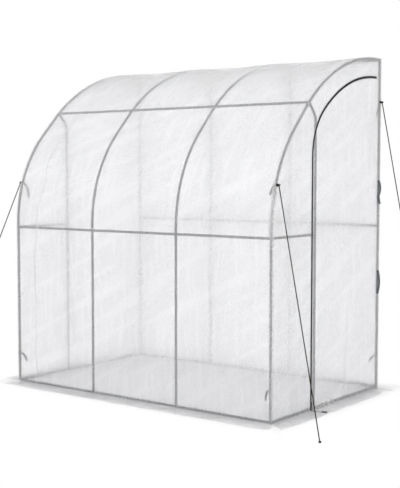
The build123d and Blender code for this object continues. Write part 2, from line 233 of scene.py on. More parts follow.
floor_finish, tree, shader = new_finish("pale_floor", colour=(0.87, 0.87, 0.87, 1), rough=0.9)
away = vector(tree, "ABSOLUTE", vector(tree, "SUBTRACT", object_place(tree), floor_middle))
beyond = parts_of(tree, vector(tree, "SUBTRACT", away, floor_half))
fade = mapped(tree, number(tree, "MAXIMUM", beyond["X"], beyond["Y"]), (0, floor_fade), smooth=True)
lift = number(tree, "MULTIPLY", seen_rays(tree), fade)
white = put(tree, "Emission", {"Color": (1, 1, 1, 1), "Strength": 1.0})
mixed = put(tree, "MixShader", {"Fac": lift, 1: shader.outputs[0], 2: white.outputs[0]})
output = next(node for node in tree.nodes if node.type == "OUTPUT_MATERIAL")
feed(tree, output, Surface=mixed.outputs[0])

half = floor_size / 2
floor_corners = [(-half, -half, 0), (half, -half, 0), (half, half, 0), (-half, half, 0)]
floor_mesh = bpy.data.meshes.new("floor")
floor_mesh.from_pydata(floor_corners, [], [(0, 1, 2, 3)])
floor_mesh.materials.append(floor_finish)
floor = bpy.data.objects.new("floor", floor_mesh)
floor.location.z = -floor_drop
scene.collection.objects.link(floor)
print("floor", floor_size, "m square")

# %% Sky and lamps
sky_light = 0.88
lamp_aim = (0, 0, 1.0)

world = bpy.data.worlds.new("white_surround")
world.use_nodes = True
tree = world.node_tree
tree.nodes.clear()
level = mapped(tree, seen_rays(tree), end=(sky_light, 1.0))
sky = put(tree, "Background", {"Color": (1, 1, 1, 1), "Strength": level})
put(tree, "OutputWorld", {"Surface": sky.outputs[0]})
scene.world = world


def add_lamp(name, place, size, power):
    """A broad square lamp at a place, turned to face the middle of the house."""
    data = bpy.data.lights.new(name, "AREA")
    data.size, data.energy = size, power
    lamp = bpy.data.objects.new(name, data)
    lamp.location = place
    lamp.rotation_euler = (Vector(lamp_aim) - Vector(place)).to_track_quat("-Z", "Y").to_euler()
    scene.collection.objects.link(lamp)


add_lamp("front_lamp", (-1.5, -6.0, 5.0), size=4.0, power=170)
add_lamp("right_lamp", (6.5, 1.5, 4.5), size=3.0, power=90)
print("sky at", sky_light, "and two lamps")

# %% [markdown]
# ## Measures taken from the frame
# A piece fits only if it is worked out from the same sizes as its solid. Places copied from the model as
# numbers would be wrong as soon as it changed, so those of the tubes are read from the boxes of the packed
# nodes. Only the few sizes that a box can't tell, such as how far a bow turns, are named here.

# %% Measures of the frame


def node_middle(node):
    """Middle of a node's box: half the sum of its lowest and highest corners."""
    low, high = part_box(node)
    return np.array((low + high) / 2)


front_y, mid_rail_z = node_middle("front_mid_rail_1")[1:]
back_y, base_rail_z = node_middle("back_base_rail_1")[1:]
tube_radius = base_rail_z  # the base rails lie on the ground
tube_wall = 0.0008
back_rail_z = node_middle("back_mid_rail_1")[2]
roof_z = node_middle("back_top_rail_1")[2]
roof_rail_y, roof_rail_z = node_middle("roof_rail_1")[1:]
end_x = node_middle("right_mid_rail")[0]
door_post_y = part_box("right_mid_rail")[1].y + tube_radius
hoop_x = np.linspace(-end_x, end_x, 4)
joint_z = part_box("roof_bow_1")[0].z
print(f"hoops at {hoop_x.round(3)}, roof at {roof_z:.3f} m")

# %% Measures of a bow
bend_z = 1.060  # where a bow starts to bend
lower_turn = np.radians(44.0)
upper_turn = np.pi / 2 - lower_turn
bow_link = 0.150  # straight stretch between the two arcs of a bow
bow_tail = 0.060  # straight stretch at its back end

# lower radius * (1 - cos) + upper radius * cos is the run of the arcs, and
# lower radius * sin + upper radius * (1 - sin) is their rise
cos, sin = np.cos(lower_turn), np.sin(lower_turn)
bow_run = back_y - front_y - bow_tail - bow_link * sin
bow_rise = roof_z - bend_z - bow_link * cos
divisor = (1 - cos) * (1 - sin) - sin * cos
lower_radius = (bow_run * (1 - sin) - bow_rise * cos) / divisor
upper_radius = (bow_rise * (1 - cos) - bow_run * sin) / divisor
print(f"bow radii {lower_radius:.4f} and {upper_radius:.4f} m")

# %% [markdown]
# ## Lines, grids and pieces
# Every piece is a surface over a grid: a profile carried along a path, or a sheet between two edges. The
# paths on this object are straight lines joined by arcs, so one function traces those, and one turns a
# grid of points into a mesh.

# %% Tracing lines and arcs


def trace(start, heading, steps, spacing=0.003):
    """Points on straight lines and arcs, as columns of two places, the heading, and the distance travelled.

    A step is a length and the angle turned over it. On a line the point moves by the distance times the
    heading's cosine and sine. On an arc it moves by the radius times the change in the heading's sine, and
    minus cosine.
    """
    (u, v), travelled, parts = start, 0.0, []
    for length, turn in steps:
        s = np.linspace(0, length, max(2, int(length / spacing)))
        angle = heading + turn * s / length
        if turn:
            radius = length / turn
            part_u = u + radius * (np.sin(angle) - np.sin(heading))
            part_v = v - radius * (np.cos(angle) - np.cos(heading))
        else:
            part_u, part_v = u + s * np.cos(heading), v + s * np.sin(heading)
        parts.append(np.stack([part_u, part_v, angle, travelled + s], -1))
        u, v, heading, travelled = part_u[-1], part_v[-1], angle[-1], travelled + length
    return np.concatenate(parts)


def take(line, distances):
    """The columns of a traced line at given distances along it, by straight interpolation."""
    return np.stack([np.interp(distances, line[:, 3], column) for column in line.T], -1)


def evenly(line, count):
    """A traced line at evenly spaced distances."""
    return take(line, np.linspace(0, line[-1, 3], count))


print("helpers: trace, take and evenly")

# %% Line of a bow


def arch_steps(offset, bottom, tail):
    """Steps of the bow's line, an offset outside its middle, from a height in front to past the back."""
    lower = ((lower_radius + offset) * lower_turn, -lower_turn)
    upper = ((upper_radius + offset) * upper_turn, -upper_turn)
    return [(bend_z - bottom, 0), lower, (bow_link, 0), upper, (bow_tail + tail, 0)]


def arch(offset, bottom, tail):
    """The bow's line in Y and Z."""
    return trace((front_y - offset, bottom), np.pi / 2, arch_steps(offset, bottom, tail))


print(f"bow line is {arch(0, 0, 0)[-1, 3]:.3f} m long")

# %% Grids and directions


def gather(*coordinates):
    """Coordinates of different shapes, spread over one grid and stacked as points."""
    return np.stack(np.broadcast_arrays(*coordinates), -1)


def grid_faces(rows, columns, round_rows=False, round_columns=False):
    """Quads of a grid: each joins a point with the next in its row and its column, wrapping where round."""
    i = np.arange(rows if round_rows else rows - 1)[:, None]
    j = np.arange(columns if round_columns else columns - 1)[None, :]
    i2, j2 = (i + 1) % rows, (j + 1) % columns
    corners = (i * columns + j, i2 * columns + j, i2 * columns + j2, i * columns + j2)
    return gather(*corners).reshape(-1, 4)


def unit(vectors):
    """Vectors divided by their lengths."""
    return vectors / np.linalg.norm(vectors, axis=-1, keepdims=True)


def square_to(along, vectors):
    """Unit vectors square to a direction: what is left once each vector's share of that direction is gone."""
    return unit(vectors - along * (vectors * along).sum(-1, keepdims=True))


def rings(side, other, count):
    """Circles of radius 1, each the cosine times one direction plus the sine times the other."""
    a = np.arange(count) * 2 * np.pi / count
    return np.cos(a)[:, None] * side[:, None] + np.sin(a)[:, None] * other[:, None]


def lengths_along(line):
    """Distances travelled along a line of points: the running sum of its steps."""
    return np.r_[0, np.cumsum(np.linalg.norm(np.diff(line, axis=0), axis=1))]


print("helpers: gather, grid_faces, unit, square_to, rings and lengths_along")

# %% Pieces
sharp_angle = np.radians(42)  # edges that turn by more than this stay crisp


def add_piece(name, points, faces, finish, body="frame_and_cover", nodes=(), uv=None, marks=None):
    """Makes a mesh at the origin from points and faces, with its finish, body and replaced nodes."""
    points = np.reshape(points, (-1, 3))
    mesh = bpy.data.meshes.new(name)
    mesh.from_pydata(points.tolist(), [], faces.tolist() if isinstance(faces, np.ndarray) else faces)
    mesh.shade_smooth()
    mesh.set_sharp_from_angle(angle=sharp_angle)
    if uv is not None:
        corner = np.empty(len(mesh.loops), int)
        mesh.loops.foreach_get("vertex_index", corner)
        mesh.uv_layers.new(name="cloth").data.foreach_set("uv", np.reshape(uv, (-1, 2))[corner].ravel())
    for mark, values in (marks or {}).items():
        mesh.attributes.new(mark, "FLOAT", "POINT").data.foreach_set("value", np.ravel(values))
    mesh.materials.append(finish)
    piece = bpy.data.objects.new(name, mesh)
    scene.collection.objects.link(piece)
    if body:
        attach(piece, body)
    if nodes:
        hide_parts(*nodes)
    return piece


print("helper: add_piece")

# %% [markdown]
# ## A shared weave
# Rope, ribbon, webbing and zip tape are all woven. A weave could be modelled thread by thread, which
# costs far too many faces, so it is one node group: two crossed waves along the piece's own UV map, which
# is in metres, alternately over and under. Each finish places it with its own thread size. A second group
# gives slow cloudy wear and fine specks.

# %% Weave and wear groups
specks_to_patch, speck_band = 24.0, (0.58, 0.72)  # how much finer specks are, and the noise that makes one

weave_group, given, result = new_group("weave", {"Thread": 0.001}, ["Height"])
threads = parts_of(weave_group, vector(weave_group, "DIVIDE", given["Vector"], given["Thread"]))
waves = [number(weave_group, "MULTIPLY", threads[axis], np.pi) for axis in "XY"]
waves = [number(weave_group, "SINE", wave) for wave in waves]
feed(weave_group, result, Height=number(weave_group, "ABSOLUTE", number(weave_group, "MULTIPLY", *waves)))

wear_group, given, result = new_group("cloudy_wear", {"Patches": 4.0}, ["Cloud", "Specks"])
cloud = noise(wear_group, given["Vector"], given["Patches"], detail=5.0)
finer = number(wear_group, "MULTIPLY", given["Patches"], specks_to_patch)
fine = noise(wear_group, given["Vector"], finer, detail=3.0)
feed(wear_group, result, Cloud=cloud, Specks=mapped(wear_group, fine, speck_band))
print("groups: weave, cloudy wear")

# %% Woven finishes
cloud_patches = 30.0  # cloudy patches in a metre of woven stuff
shade_gain = 1.6


def woven_finish(name, dark, light, thread, rough, **constants):
    """A woven finish: painted shade darkens the gaps, and the threads are light and stand up in the bump."""
    finish, tree, shader = new_finish(name, rough=rough, **constants)
    weave = placed(tree, weave_group, Vector=cloth_place(tree), Thread=thread)["Height"]
    cloud = placed(tree, wear_group, Vector=object_place(tree), Patches=cloud_patches)["Cloud"]
    # painted shade: the gaps between threads are darkened in the colour, times the weave's own cloudy tone
    gap_shade_and_cloud = number(tree, "MULTIPLY", weave, cloud)
    gap_shade_and_cloud = number(tree, "MULTIPLY", gap_shade_and_cloud, shade_gain, use_clamp=True)
    colour = mix(tree, gap_shade_and_cloud, (*dark, 1), (*light, 1))
    feed(tree, shader, colour=colour, normal=bump(tree, weave, strength=0.6, distance=thread / 3))
    return finish


dull = {"Specular IOR Level": 0.25}
rope_finish = woven_finish(
    "olive_rope", (0.009, 0.008, 0.003), (0.036, 0.033, 0.014), thread=0.0011, rough=0.85, **dull
)
webbing_finish = woven_finish(
    "black_webbing", (0.006, 0.006, 0.007), (0.030, 0.030, 0.032), thread=0.0009, rough=0.7
)
ribbon_finish = woven_finish(
    "grey_ribbon", (0.014, 0.015, 0.015), (0.055, 0.057, 0.057), thread=0.0008, rough=0.7
)
strap_finish = woven_finish(
    "teal_strap", (0.035, 0.055, 0.060), (0.12, 0.16, 0.165), thread=0.0008, rough=0.7
)
tape_finish = woven_finish(
    "zip_tape", (0.008, 0.008, 0.009), (0.035, 0.035, 0.038), thread=0.0005, rough=0.75
)
print("woven finishes: rope, webbing, ribbon, strap, zip tape")

# %% [markdown]
# ## Guy ropes
# Three ropes hold the house to the ground: from a webbing tab on each front hoop, and from one at the
# back right. Each is a thin laid rope, pulled straight, that ends in a knot at the ground. A plain round
# tube would look like wire, so three strands are wound round the smooth line that a NURBS curve draws
# from the route's points.

# %% Rope line


def cord_line(points):
    """Points on the smooth line of a cord: a NURBS curve of order 3 with the route's points as controls."""
    data = bpy.data.curves.new("cord_line", "CURVE")
    data.dimensions, data.resolution_u = "3D", 24
    spline = data.splines.new("NURBS")
    spline.points.add(len(points) - 1)
    spline.points.foreach_set("co", np.c_[points, np.ones(len(points))].ravel())
    spline.order_u = 3
    spline.use_endpoint_u = True
    line = bpy.data.objects.new("cord_line", data)
    mesh = bpy.data.meshes.new_from_object(line)
    found = np.empty(3 * len(mesh.vertices))
    mesh.vertices.foreach_get("co", found)
    bpy.data.objects.remove(line)
    bpy.data.meshes.remove(mesh)
    bpy.data.curves.remove(data)
    return found.reshape(-1, 3)


def even_line(points, spacing):
    """A line of points made even: places are interpolated at equal distances along it."""
    travelled = lengths_along(points)
    distances = np.linspace(0, travelled[-1], int(travelled[-1] / spacing) + 2)
    return np.stack([np.interp(distances, travelled, axis) for axis in points.T], -1), distances


print("helpers: cord_line and even_line")

# %% Strands
rope_diameter = 0.0066
rope_lay, lay_rings = 0.016, 12  # length of one turn of the strands, and rings in it
strand_count, strand_sides = 3, 7
strand_swell = 1.04  # strands are a little fuller than they need to be to touch
strand_step = 0.0011  # cloth map from one side of a strand to the next


def strands(line, distances):
    """Strands wound round a line: centres circle it once every lay, with a small ring round each."""
    along = unit(np.gradient(line, axis=0))
    side = unit(np.cross(along, (0, 0, 1)))
    up = np.cross(side, along)
    start = np.arange(strand_count) * 2 * np.pi / strand_count
    wind = (distances[:, None] * 2 * np.pi / rope_lay + start)[..., None]
    offset = rope_diameter / 4
    centre = line[:, None] + offset * (np.cos(wind) * side[:, None] + np.sin(wind) * up[:, None])
    ring = rings(side, up, strand_sides)[:, None] * offset * strand_swell
    points = (centre[:, :, None] + ring).transpose(1, 0, 2, 3)
    faces = grid_faces(len(line), strand_sides, round_columns=True)
    step = len(line) * strand_sides
    first = np.arange(strand_count)[:, None] * step
    ends = np.arange(strand_sides)
    quads = (faces + first[..., None]).reshape(-1, 4).tolist()
    caps = (first + ends[::-1]).tolist() + (first + step - strand_sides + ends).tolist()
    around = np.broadcast_to(ends * strand_step, (strand_count, len(line), strand_sides))
    return points, quads + caps, gather(around, distances[None, :, None])


print(f"rope of {strand_count} strands, {rope_diameter * 1000:.1f} mm thick")

# %% Knots
knot_size = 0.0055
knot_rings, knot_sides = 72, 8
knot_depth = 1.3  # a knot is a little deeper than its curve
knot_wrap = 0.0025  # cloth map for each radian round a knot's rope


def knot(middle, across, upward):
    """A tight knot: a tube round the trefoil curve (sin t + 2 sin 2t, cos t - 2 cos 2t, -sin 3t)."""
    t = np.linspace(0, 2 * np.pi, knot_rings, endpoint=False)
    deep = -np.sin(3 * t) * knot_depth
    flat = gather(np.sin(t) + 2 * np.sin(2 * t), np.cos(t) - 2 * np.cos(2 * t), deep) * knot_size / 3
    line = middle + flat @ np.stack([across, upward, np.cross(across, upward)])
    along = unit(np.roll(line, -1, 0) - np.roll(line, 1, 0))
    side = square_to(along, np.roll(along, -1, 0) - np.roll(along, 1, 0))
    points = line[:, None] + rope_diameter / 2 * rings(side, np.cross(along, side), knot_sides)
    around = np.arange(knot_sides) * 2 * np.pi / knot_sides
    uv = gather(around[None] * knot_wrap, t[:, None] * knot_size)
    return points, grid_faces(knot_rings, knot_sides, True, True), uv


print(f"knots {(2 * knot_size + rope_diameter) * 1000:.1f} mm across")

# %% Guy ropes
guy_routes = {
    "front_left": ((-1.0212, -0.5148, 1.3221), (-1.4780, -0.7825, 0.006)),
    "front_right": ((1.0212, -0.5148, 1.3221), (1.4300, -0.7475, 0.006)),
    "back_right": ((1.0212, 0.6825, 1.8350), (1.4020, 0.6525, 0.006)),
}
knot_stretch = 0.030  # distance from a knot to where the rope runs straight
ground_knot_lift = (0, 0, 0.002)

for guy, route_ends in guy_routes.items():
    top, foot = np.array(route_ends)
    way = unit(foot - top)
    outward = unit(way * (1, 1, 0))
    aside = np.cross((0, 0, 1), outward)
    route = np.array([top, top + way * knot_stretch, foot - way * knot_stretch, foot])
    line, distances = even_line(cord_line(route), rope_lay / lay_rings)
    points, faces, uv = strands(line, distances)
    rope = add_piece(f"rope_{guy}", points, faces, rope_finish, nodes=[f"guy_rope_{guy}"], uv=uv)
    for place, middle in (("tab", top), ("ground", foot + ground_knot_lift)):
        points, faces, uv = knot(middle, outward, aside)
        add_piece(f"rope_{guy}_{place}_knot", points, faces, rope_finish, uv=uv)
    print(f"rope {guy}: {distances[-1]:.3f} m")

# %% [markdown]
# ## Painted tubes
# The frame is steel tube, 16 mm across with a thin wall, in grey paint. The solids stand in for it with
# flats, and here it is made round. A curve with a bevel would be quick but has no wall, so a ring is
# carried along the tube's line, out along the outside and back along the bore. Each tube is then one
# closed skin that is open at its ends like the real thing.

# %% Tube finish
paint_dark, paint_light = (0.090, 0.092, 0.096, 1), (0.126, 0.128, 0.132, 1)
paint_rough = (0.32, 0.55)
chalk_white, chalk_share = (0.21, 0.21, 0.21, 1), 0.35  # chalky specks, and how far they cover the paint
peel_grain = 700.0  # bumps in a metre of paint

tube_finish, tree, shader = new_finish("grey_paint", metal=0.0)
place = object_place(tree)
wear = placed(tree, wear_group, Vector=place, Patches=7.0)
paint = mix(tree, wear["Cloud"], paint_dark, paint_light)
paint = mix(tree, number(tree, "MULTIPLY", wear["Specks"], chalk_share), paint, chalk_white)
rough = mapped(tree, wear["Cloud"], end=paint_rough)
peel = bump(tree, noise(tree, place, peel_grain), strength=0.15, distance=0.0003)
feed(tree, shader, colour=paint, rough=rough, normal=peel)
print("grey paint ready")

# %% Hoops
tube_sides = 24
bow_rings = 140
butt_gap = 0.0002  # between a tube's end and the tube it meets


def tube(line, side):
    """A hollow tube: rings round a line, out along the outside and back along the bore."""
    along = unit(np.gradient(line, axis=0))
    side = np.broadcast_to(side, along.shape)
    ring = rings(side, np.cross(side, along), tube_sides)
    outside, bore = (line[:, None] + radius * ring for radius in (tube_radius, tube_radius - tube_wall))
    points = np.concatenate([outside, bore[::-1]])
    return points, grid_faces(2 * len(line), tube_sides, True, True)[:, ::-1]


def add_tube(node, line, side):
    """Puts a painted tube in the place of a node."""
    points, faces = tube(np.array(line, float), side)
    add_piece(f"tube_{node}", points, faces, tube_finish, nodes=[node])


def flat_line(x, yz):
    """Points in space of a line in Y and Z at one place along X."""
    return gather(x, yz[:, 0], yz[:, 1])


bow = evenly(arch(0, joint_z, -tube_radius - butt_gap), bow_rings)
for i, x in enumerate(hoop_x, 1):
    add_tube(f"front_upright_{i}", [(x, front_y, 0), (x, front_y, joint_z - butt_gap)], (1, 0, 0))
    add_tube(f"roof_bow_{i}", flat_line(x, bow), (1, 0, 0))
    add_tube(f"back_post_{i}", [(x, back_y, 0), (x, back_y, roof_z + tube_radius)], (1, 0, 0))
print("four hoops of tubes")

# %% Rails
reach = tube_radius + butt_gap
rail_rows = {
    "front_base_rail": (front_y, base_rail_z), "front_mid_rail": (front_y, mid_rail_z),
    "roof_rail": (roof_rail_y, roof_rail_z), "back_base_rail": (back_y, base_rail_z),
    "back_mid_rail": (back_y, back_rail_z), "back_top_rail": (back_y, roof_z),
}
for row, (y, z) in rail_rows.items():
    for i in range(3):
        ends = [(hoop_x[i] + reach, y, z), (hoop_x[i + 1] - reach, y, z)]
        add_tube(f"{row}_{i + 1}", ends, (0, 0, 1))
print(3 * len(rail_rows), "rails between the hoops")

# %% Door posts and end rails
roof_rail_turn = np.radians(47.5)  # turn of the bow where the roof rail meets it
post_bend = 0.060
post_turn = np.pi / 2 - roof_rail_turn
lean = door_post_y - roof_rail_y
lean_start = roof_rail_z - lean * np.tan(roof_rail_turn)
corner_cut = post_bend * np.tan(post_turn / 2)
lean_length = lean / np.cos(roof_rail_turn) - reach
post_steps = [(lean_start - corner_cut, 0), (post_bend * post_turn, post_turn), (lean_length - corner_cut, 0)]
post_line = trace((door_post_y, 0), np.pi / 2, post_steps, spacing=0.006)
end_rails = (  # name, from where to where along Y, height
    ("base_rail_front", front_y, door_post_y, base_rail_z),
    ("base_rail_back", door_post_y, back_y, base_rail_z),
    ("mid_rail", front_y, door_post_y, mid_rail_z),
)
for side, x in (("left", -end_x), ("right", end_x)):
    add_tube(f"{side}_door_post", flat_line(x, post_line), (1, 0, 0))
    for name, y_from, y_to, z in end_rails:
        add_tube(f"{side}_{name}", [(x, y_from + reach, z), (x, y_to - reach, z)], (1, 0, 0))
print("door posts and end rails")

# %% [markdown]
# ## Reinforced film
# The cover is pale film, less than a millimetre thick, with a net of threads laminated into it. What
# touches it shows clearly through it and what is further off fades to haze, as through tracing paper. A
# lowered Alpha would show near and far tubes alike, so the film transmits light instead: most of it is
# scattered widely, which makes the haze, and specks too fine to see from a few steps away let the rest
# straight through, more of them in the net's windows than in its threads. Along creases the film's colour
# is painted lighter: a painted highlight where folds would catch the light. The specks, the net and the
# creases follow the cloth's own UV map, in metres.

# %% Thread net group
net_group, given, result = new_group("thread_net", {"Spacing": 0.01, "Thread": 0.1}, ["Threads"])
cell = vector(net_group, "FRACTION", vector(net_group, "DIVIDE", given["Vector"], given["Spacing"]))
middle = vector(net_group, "SUBTRACT", cell, (0.5, 0.5, 0.5))
away = parts_of(net_group, vector(net_group, "ABSOLUTE", middle))
nearest = number(net_group, "MAXIMUM", away["X"], away["Y"])
edge = number(net_group, "SUBTRACT", 0.5, given["Thread"])
feed(net_group, result, Threads=mapped(net_group, nearest, (edge, 0.5), smooth=True))
print("group: thread net")

# %% Painted crease highlight group
bend_scale, crease_bend = 5.0, (0.05, 0, 0)  # noise of this scale moves the creases aside, by this much
upward_stretch = (38, 3, 1)  # changes in a metre across and along the upward creases
slant_along, slant_across = (0.90, 0.44, 0), (-5.3, 10.8, 0)  # the same for the slanted ones
# the white creases are painted highlights: lighter film colour where folds would catch the light
crease_highlight_band = (0.50, 0.62)  # noise in this band goes from plain film to a white crease

crease_highlight_group, given, result = new_group("painted_crease_highlights", {}, ["Creases"])
bent = put(crease_highlight_group, "TexNoise", {"Vector": given["Vector"], "Scale": bend_scale}).outputs["Color"]
moved = vector(crease_highlight_group, "MULTIPLY", bent, crease_bend)
moved = vector(crease_highlight_group, "ADD", moved, given["Vector"])
upward = vector(crease_highlight_group, "MULTIPLY", moved, upward_stretch)
along = vector(crease_highlight_group, "DOT_PRODUCT", moved, slant_along)
aside = vector(crease_highlight_group, "DOT_PRODUCT", moved, slant_across)
slanted = put(crease_highlight_group, "CombineXYZ", {"X": along, "Y": aside}).outputs[0]
lines = [noise(crease_highlight_group, way, 1.0) for way in (upward, slanted)]
lines = [mapped(crease_highlight_group, line, crease_highlight_band, smooth=True) for line in lines]
feed(crease_highlight_group, result, Creases=number(crease_highlight_group, "MAXIMUM", *lines))
print("group: white creases")

# %% Film finish
net_spacing, net_thread = 0.011, 0.27  # metres between threads, and a thread's share of that
# the lighter tint along the creases is a painted highlight, not a change in the film itself
film_tint, crease_highlight_tint, seam_tint = 0.945, 1.0, 0.985  # share of light let through
warmth = 0.992  # red and green, as a share of blue
clear_rough, hazy_rough = 0.05, 0.40  # roughness, which scatters light on its way through
window_clear, thread_clear = 0.40, 0.28  # share of clear specks in the net's windows and in its threads
specks_per_metre = 700
thread_edge = 0.3  # where a thread counts as one
crinkle_grain = 26.0  # crinkles in a metre
thread_relief = 0.08  # height of the threads beside that of the crinkles

film, tree, shader = new_finish("reinforced_film", through=0.84, IOR=1.15)
cloth = cloth_place(tree)
net = placed(tree, net_group, Vector=cloth, Spacing=net_spacing, Thread=net_thread)["Threads"]
# painted highlight: the film's colour is lifted along the creases
crease_highlight = placed(tree, crease_highlight_group, Vector=cloth)["Creases"]
tint = mapped(tree, crease_highlight, end=(film_tint, crease_highlight_tint))
tint = number(tree, "MULTIPLY", tint, mapped(tree, attribute(tree, "seam"), end=(1.0, seam_tint)))
warm = number(tree, "MULTIPLY", tint, warmth)
colour = put(tree, "CombineColor", {"Red": warm, "Green": warm, "Blue": tint}).outputs[0]
speck = vector(tree, "FLOOR", vector(tree, "MULTIPLY", cloth, (specks_per_metre,) * 3))
chance = put(tree, "TexWhiteNoise", {"Vector": speck}, noise_dimensions="2D").outputs["Value"]
share = mapped(tree, net, (0, thread_edge), (window_clear, thread_clear))
clear = number(tree, "LESS_THAN", chance, share)
haze = mapped(tree, clear, end=(hazy_rough, clear_rough))
crinkle = noise(tree, object_place(tree), crinkle_grain, detail=4.0)
relief = number(tree, "MULTIPLY_ADD", net, thread_relief, crinkle)
normal = bump(tree, relief, strength=0.16, distance=0.003)
feed(tree, shader, colour=colour, rough=haze, normal=normal)
print("film finish ready")

# %% Hem finish
crumple_stretch = (70, 45, 1)  # crumples in a metre along and up the hem
crumple_band, crumple_cover = (0.42, 0.58), (0.15, 0.85)  # noise from hollow to crumple, and what each covers

hem_film, tree, shader = new_finish("crumpled_hem", colour=(0.84, 0.84, 0.84, 1), rough=0.5)
stretched = vector(tree, "MULTIPLY", cloth_place(tree), crumple_stretch)
crumpled = noise(tree, stretched, 1.0, detail=3.0)
cover = mapped(tree, crumpled, crumple_band, crumple_cover)
cover = number(tree, "MULTIPLY", cover, attribute(tree, "veil"))
feed(tree, shader, alpha=cover, normal=bump(tree, crumpled, strength=0.5, distance=0.004))
print("hem finish ready")

# %% [markdown]
# ## Sheets with a rim
# A sheet is cut flat, hung, and pulled by its edges, so it is never quite flat again. A cloth simulation
# could find its folds, but film that is stretched over tubes hardly hangs, and creases that are worked out
# come out the same in every run. So each sheet starts as its flat pattern on a grid, is moved along its
# normal by soft creases that fade out where a tube holds it, and then gets its thickness: a copy on each
# side of the middle, joined by a rim.

# %% Normals and areas


def normals(middle):
    """Unit normals of a grid of points: the cross product of its steps down columns and along rows."""
    return unit(np.cross(np.gradient(middle, axis=0), np.gradient(middle, axis=1)))


def flat_area(middle):
    """Area of a grid of points: half the length of the cross product of each cell's diagonals, summed."""
    one, other = middle[1:, 1:] - middle[:-1, :-1], middle[:-1, 1:] - middle[1:, :-1]
    return float(np.linalg.norm(np.cross(one, other), axis=-1).sum() / 2)


print("helpers: normals and flat_area")

# %% Sheets
film_thickness = 0.0008


def shell(middle, uv, thickness):
    """Two copies of a grid, half the thickness to each side along its normals, joined by a rim."""
    rows, columns = middle.shape[:2]
    offset = normals(middle) * thickness / 2
    points = np.concatenate([(middle + offset).reshape(-1, 3), (middle - offset).reshape(-1, 3)])
    count = rows * columns
    face = grid_faces(rows, columns)
    place = np.arange(count).reshape(rows, columns)
    border = np.concatenate([place[0], place[1:, -1], place[-1, -2::-1], place[-2:0:-1, 0]])
    following = np.roll(border, -1)
    rim = np.stack([border, following, following + count, border + count], -1)
    faces = np.concatenate([face, face[:, ::-1] + count, rim])
    return points, faces, np.tile(uv.reshape(-1, 2), (2, 1))


def add_sheet(name, middle, uv, finish, slot, thickness, nodes=(), marks=None, body="frame_and_cover"):
    """Adds a sheet as a closed shell; the UV map and the marks are the same on both of its sides."""
    points, faces, uv = shell(middle, uv, thickness)
    marks = {mark: np.tile(np.ravel(values), 2) for mark, values in (marks or {}).items()}
    return add_piece(name, points, faces, finish, body, nodes, uv, marks)


def add_film(name, middle, uv, node, **more):
    """Adds a sheet of the cover's film in the place of a node."""
    return add_sheet(name, middle, uv, film, "cover_film", film_thickness, [node], **more)


print("helpers: shell, add_sheet and add_film")

# %% Creases
crease_lengths = (0.10, 0.42)  # half lengths, in metres


def creases(along, across, count, seed, spans, lean, width, depth):
    """Soft creases on a sheet: ridges with a bell-shaped section and a bell-shaped fade along them.

    Each lies at a random place in the two spans, along and across the sheet, with a lean, width and depth.
    """
    draw = np.random.default_rng(seed)
    total = np.zeros(np.broadcast(along, across).shape)
    for _ in range(count):
        at_along, at_across = (draw.uniform(*span) for span in spans)
        slope, wide, deep = draw.uniform(*lean), draw.uniform(*width), draw.uniform(*depth)
        half_length = draw.uniform(*crease_lengths)
        away = (across - at_across - slope * (along - at_along)) / wide
        total += deep * np.exp(-(away**2)) * np.exp(-(((along - at_along) / half_length) ** 2))
    return total


def hold(places, held, reach):
    """Near 0 at held places and 1 away from them: one minus a bell curve of the distance to the nearest."""
    away = np.min(np.abs(places[..., None] - np.asarray(held)), axis=-1)
    return 1 - np.exp(-((away / reach) ** 2))


def push(flat, amount):
    """A grid of points moved along its normals."""
    return flat + normals(flat) * amount[..., None]


print("helpers: creases, hold and push")

# %% [markdown]
# ## Front and roof sheet
# One sheet starts as a skirt on the ground in front, turns up the front wall, follows the bows over the
# roof, and ends at the back. Panels for wall and roof would be simpler, but would leave a joint where the
# real film runs on, so it is one function of two parameters: how far along that path, and how far along
# the house. It hangs a little slack between the hoops, and a welded seam runs up it near the left end.

# %% Path of the front and roof sheet
sheet_offset = 0.0097  # tube middle to sheet middle
end_face = end_x + 0.0102  # outside of the end sheets
skirt = 0.125
fold = 0.010  # radius of the turn from the skirt to the wall
ground = 0.0006
front_rows = 166
turn_up = (fold * np.pi / 2, np.pi / 2)
skirt_steps = [(skirt - fold, 0), turn_up]
front_start = (front_y - sheet_offset - skirt, ground)
front_steps = skirt_steps + arch_steps(sheet_offset, ground + fold, sheet_offset)
front_line = trace(front_start, 0, front_steps)
wall_zero = skirt - fold + turn_up[0] - ground - fold  # distance at which the wall would meet the ground
distance = np.linspace(0, front_line[-1, 3], front_rows)
rise = (distance - wall_zero)[:, None]
print(f"path of {distance[-1]:.3f} m")

# %% Columns and welded seam
seam_heights = (0.0, 0.16, 0.55, 0.69, 0.85, 1.03, 1.13, 1.22, 1.33, 1.47, 1.52, 1.68, 1.75, 2.2, 2.9)
seam_places = (
    -0.820, -0.835, -0.830, -0.840, -0.840, -0.815, -0.815, -0.800, -0.778, -0.810, -0.805, -0.800, -0.785,
    -0.80, -0.81,
)
seam_x = -0.815
seam_pull = 0.07  # columns this near the seam follow its wander
seam_width, seam_height = 0.0045, 0.0022
hem_width, seam_half = 0.022, 0.0051  # width of the corner hem, and half that of the strip on the seam
front_columns, hem_columns, seam_spacing = 241, 6, 0.0025  # more points lie close together at hem and seam

seam_columns = seam_x + np.arange(-4, 5) * seam_spacing
edge_columns = np.linspace(end_face - hem_width, end_face, hem_columns)
columns = np.r_[np.linspace(-end_face, end_face, front_columns), seam_columns, edge_columns]
columns = np.unique(columns.round(6))
x = np.broadcast_to(columns, (len(distance), len(columns)))
seam_line = np.interp(rise, seam_heights, seam_places)
x = x + (seam_line - seam_x) * np.exp(-(((x - seam_x) / seam_pull) ** 2))
seam = np.exp(-(((x - seam_line) / seam_width) ** 2))
print(f"{len(distance)} rows of {len(columns)} points")

# %% Slack between the hoops
held_near = 0.05  # a tube holds the sheet still to about this distance
roof_sag = 0.007
sag_start, sag_fade = 1.0, 0.4  # distance up the sheet at which the sag starts, and over which it grows

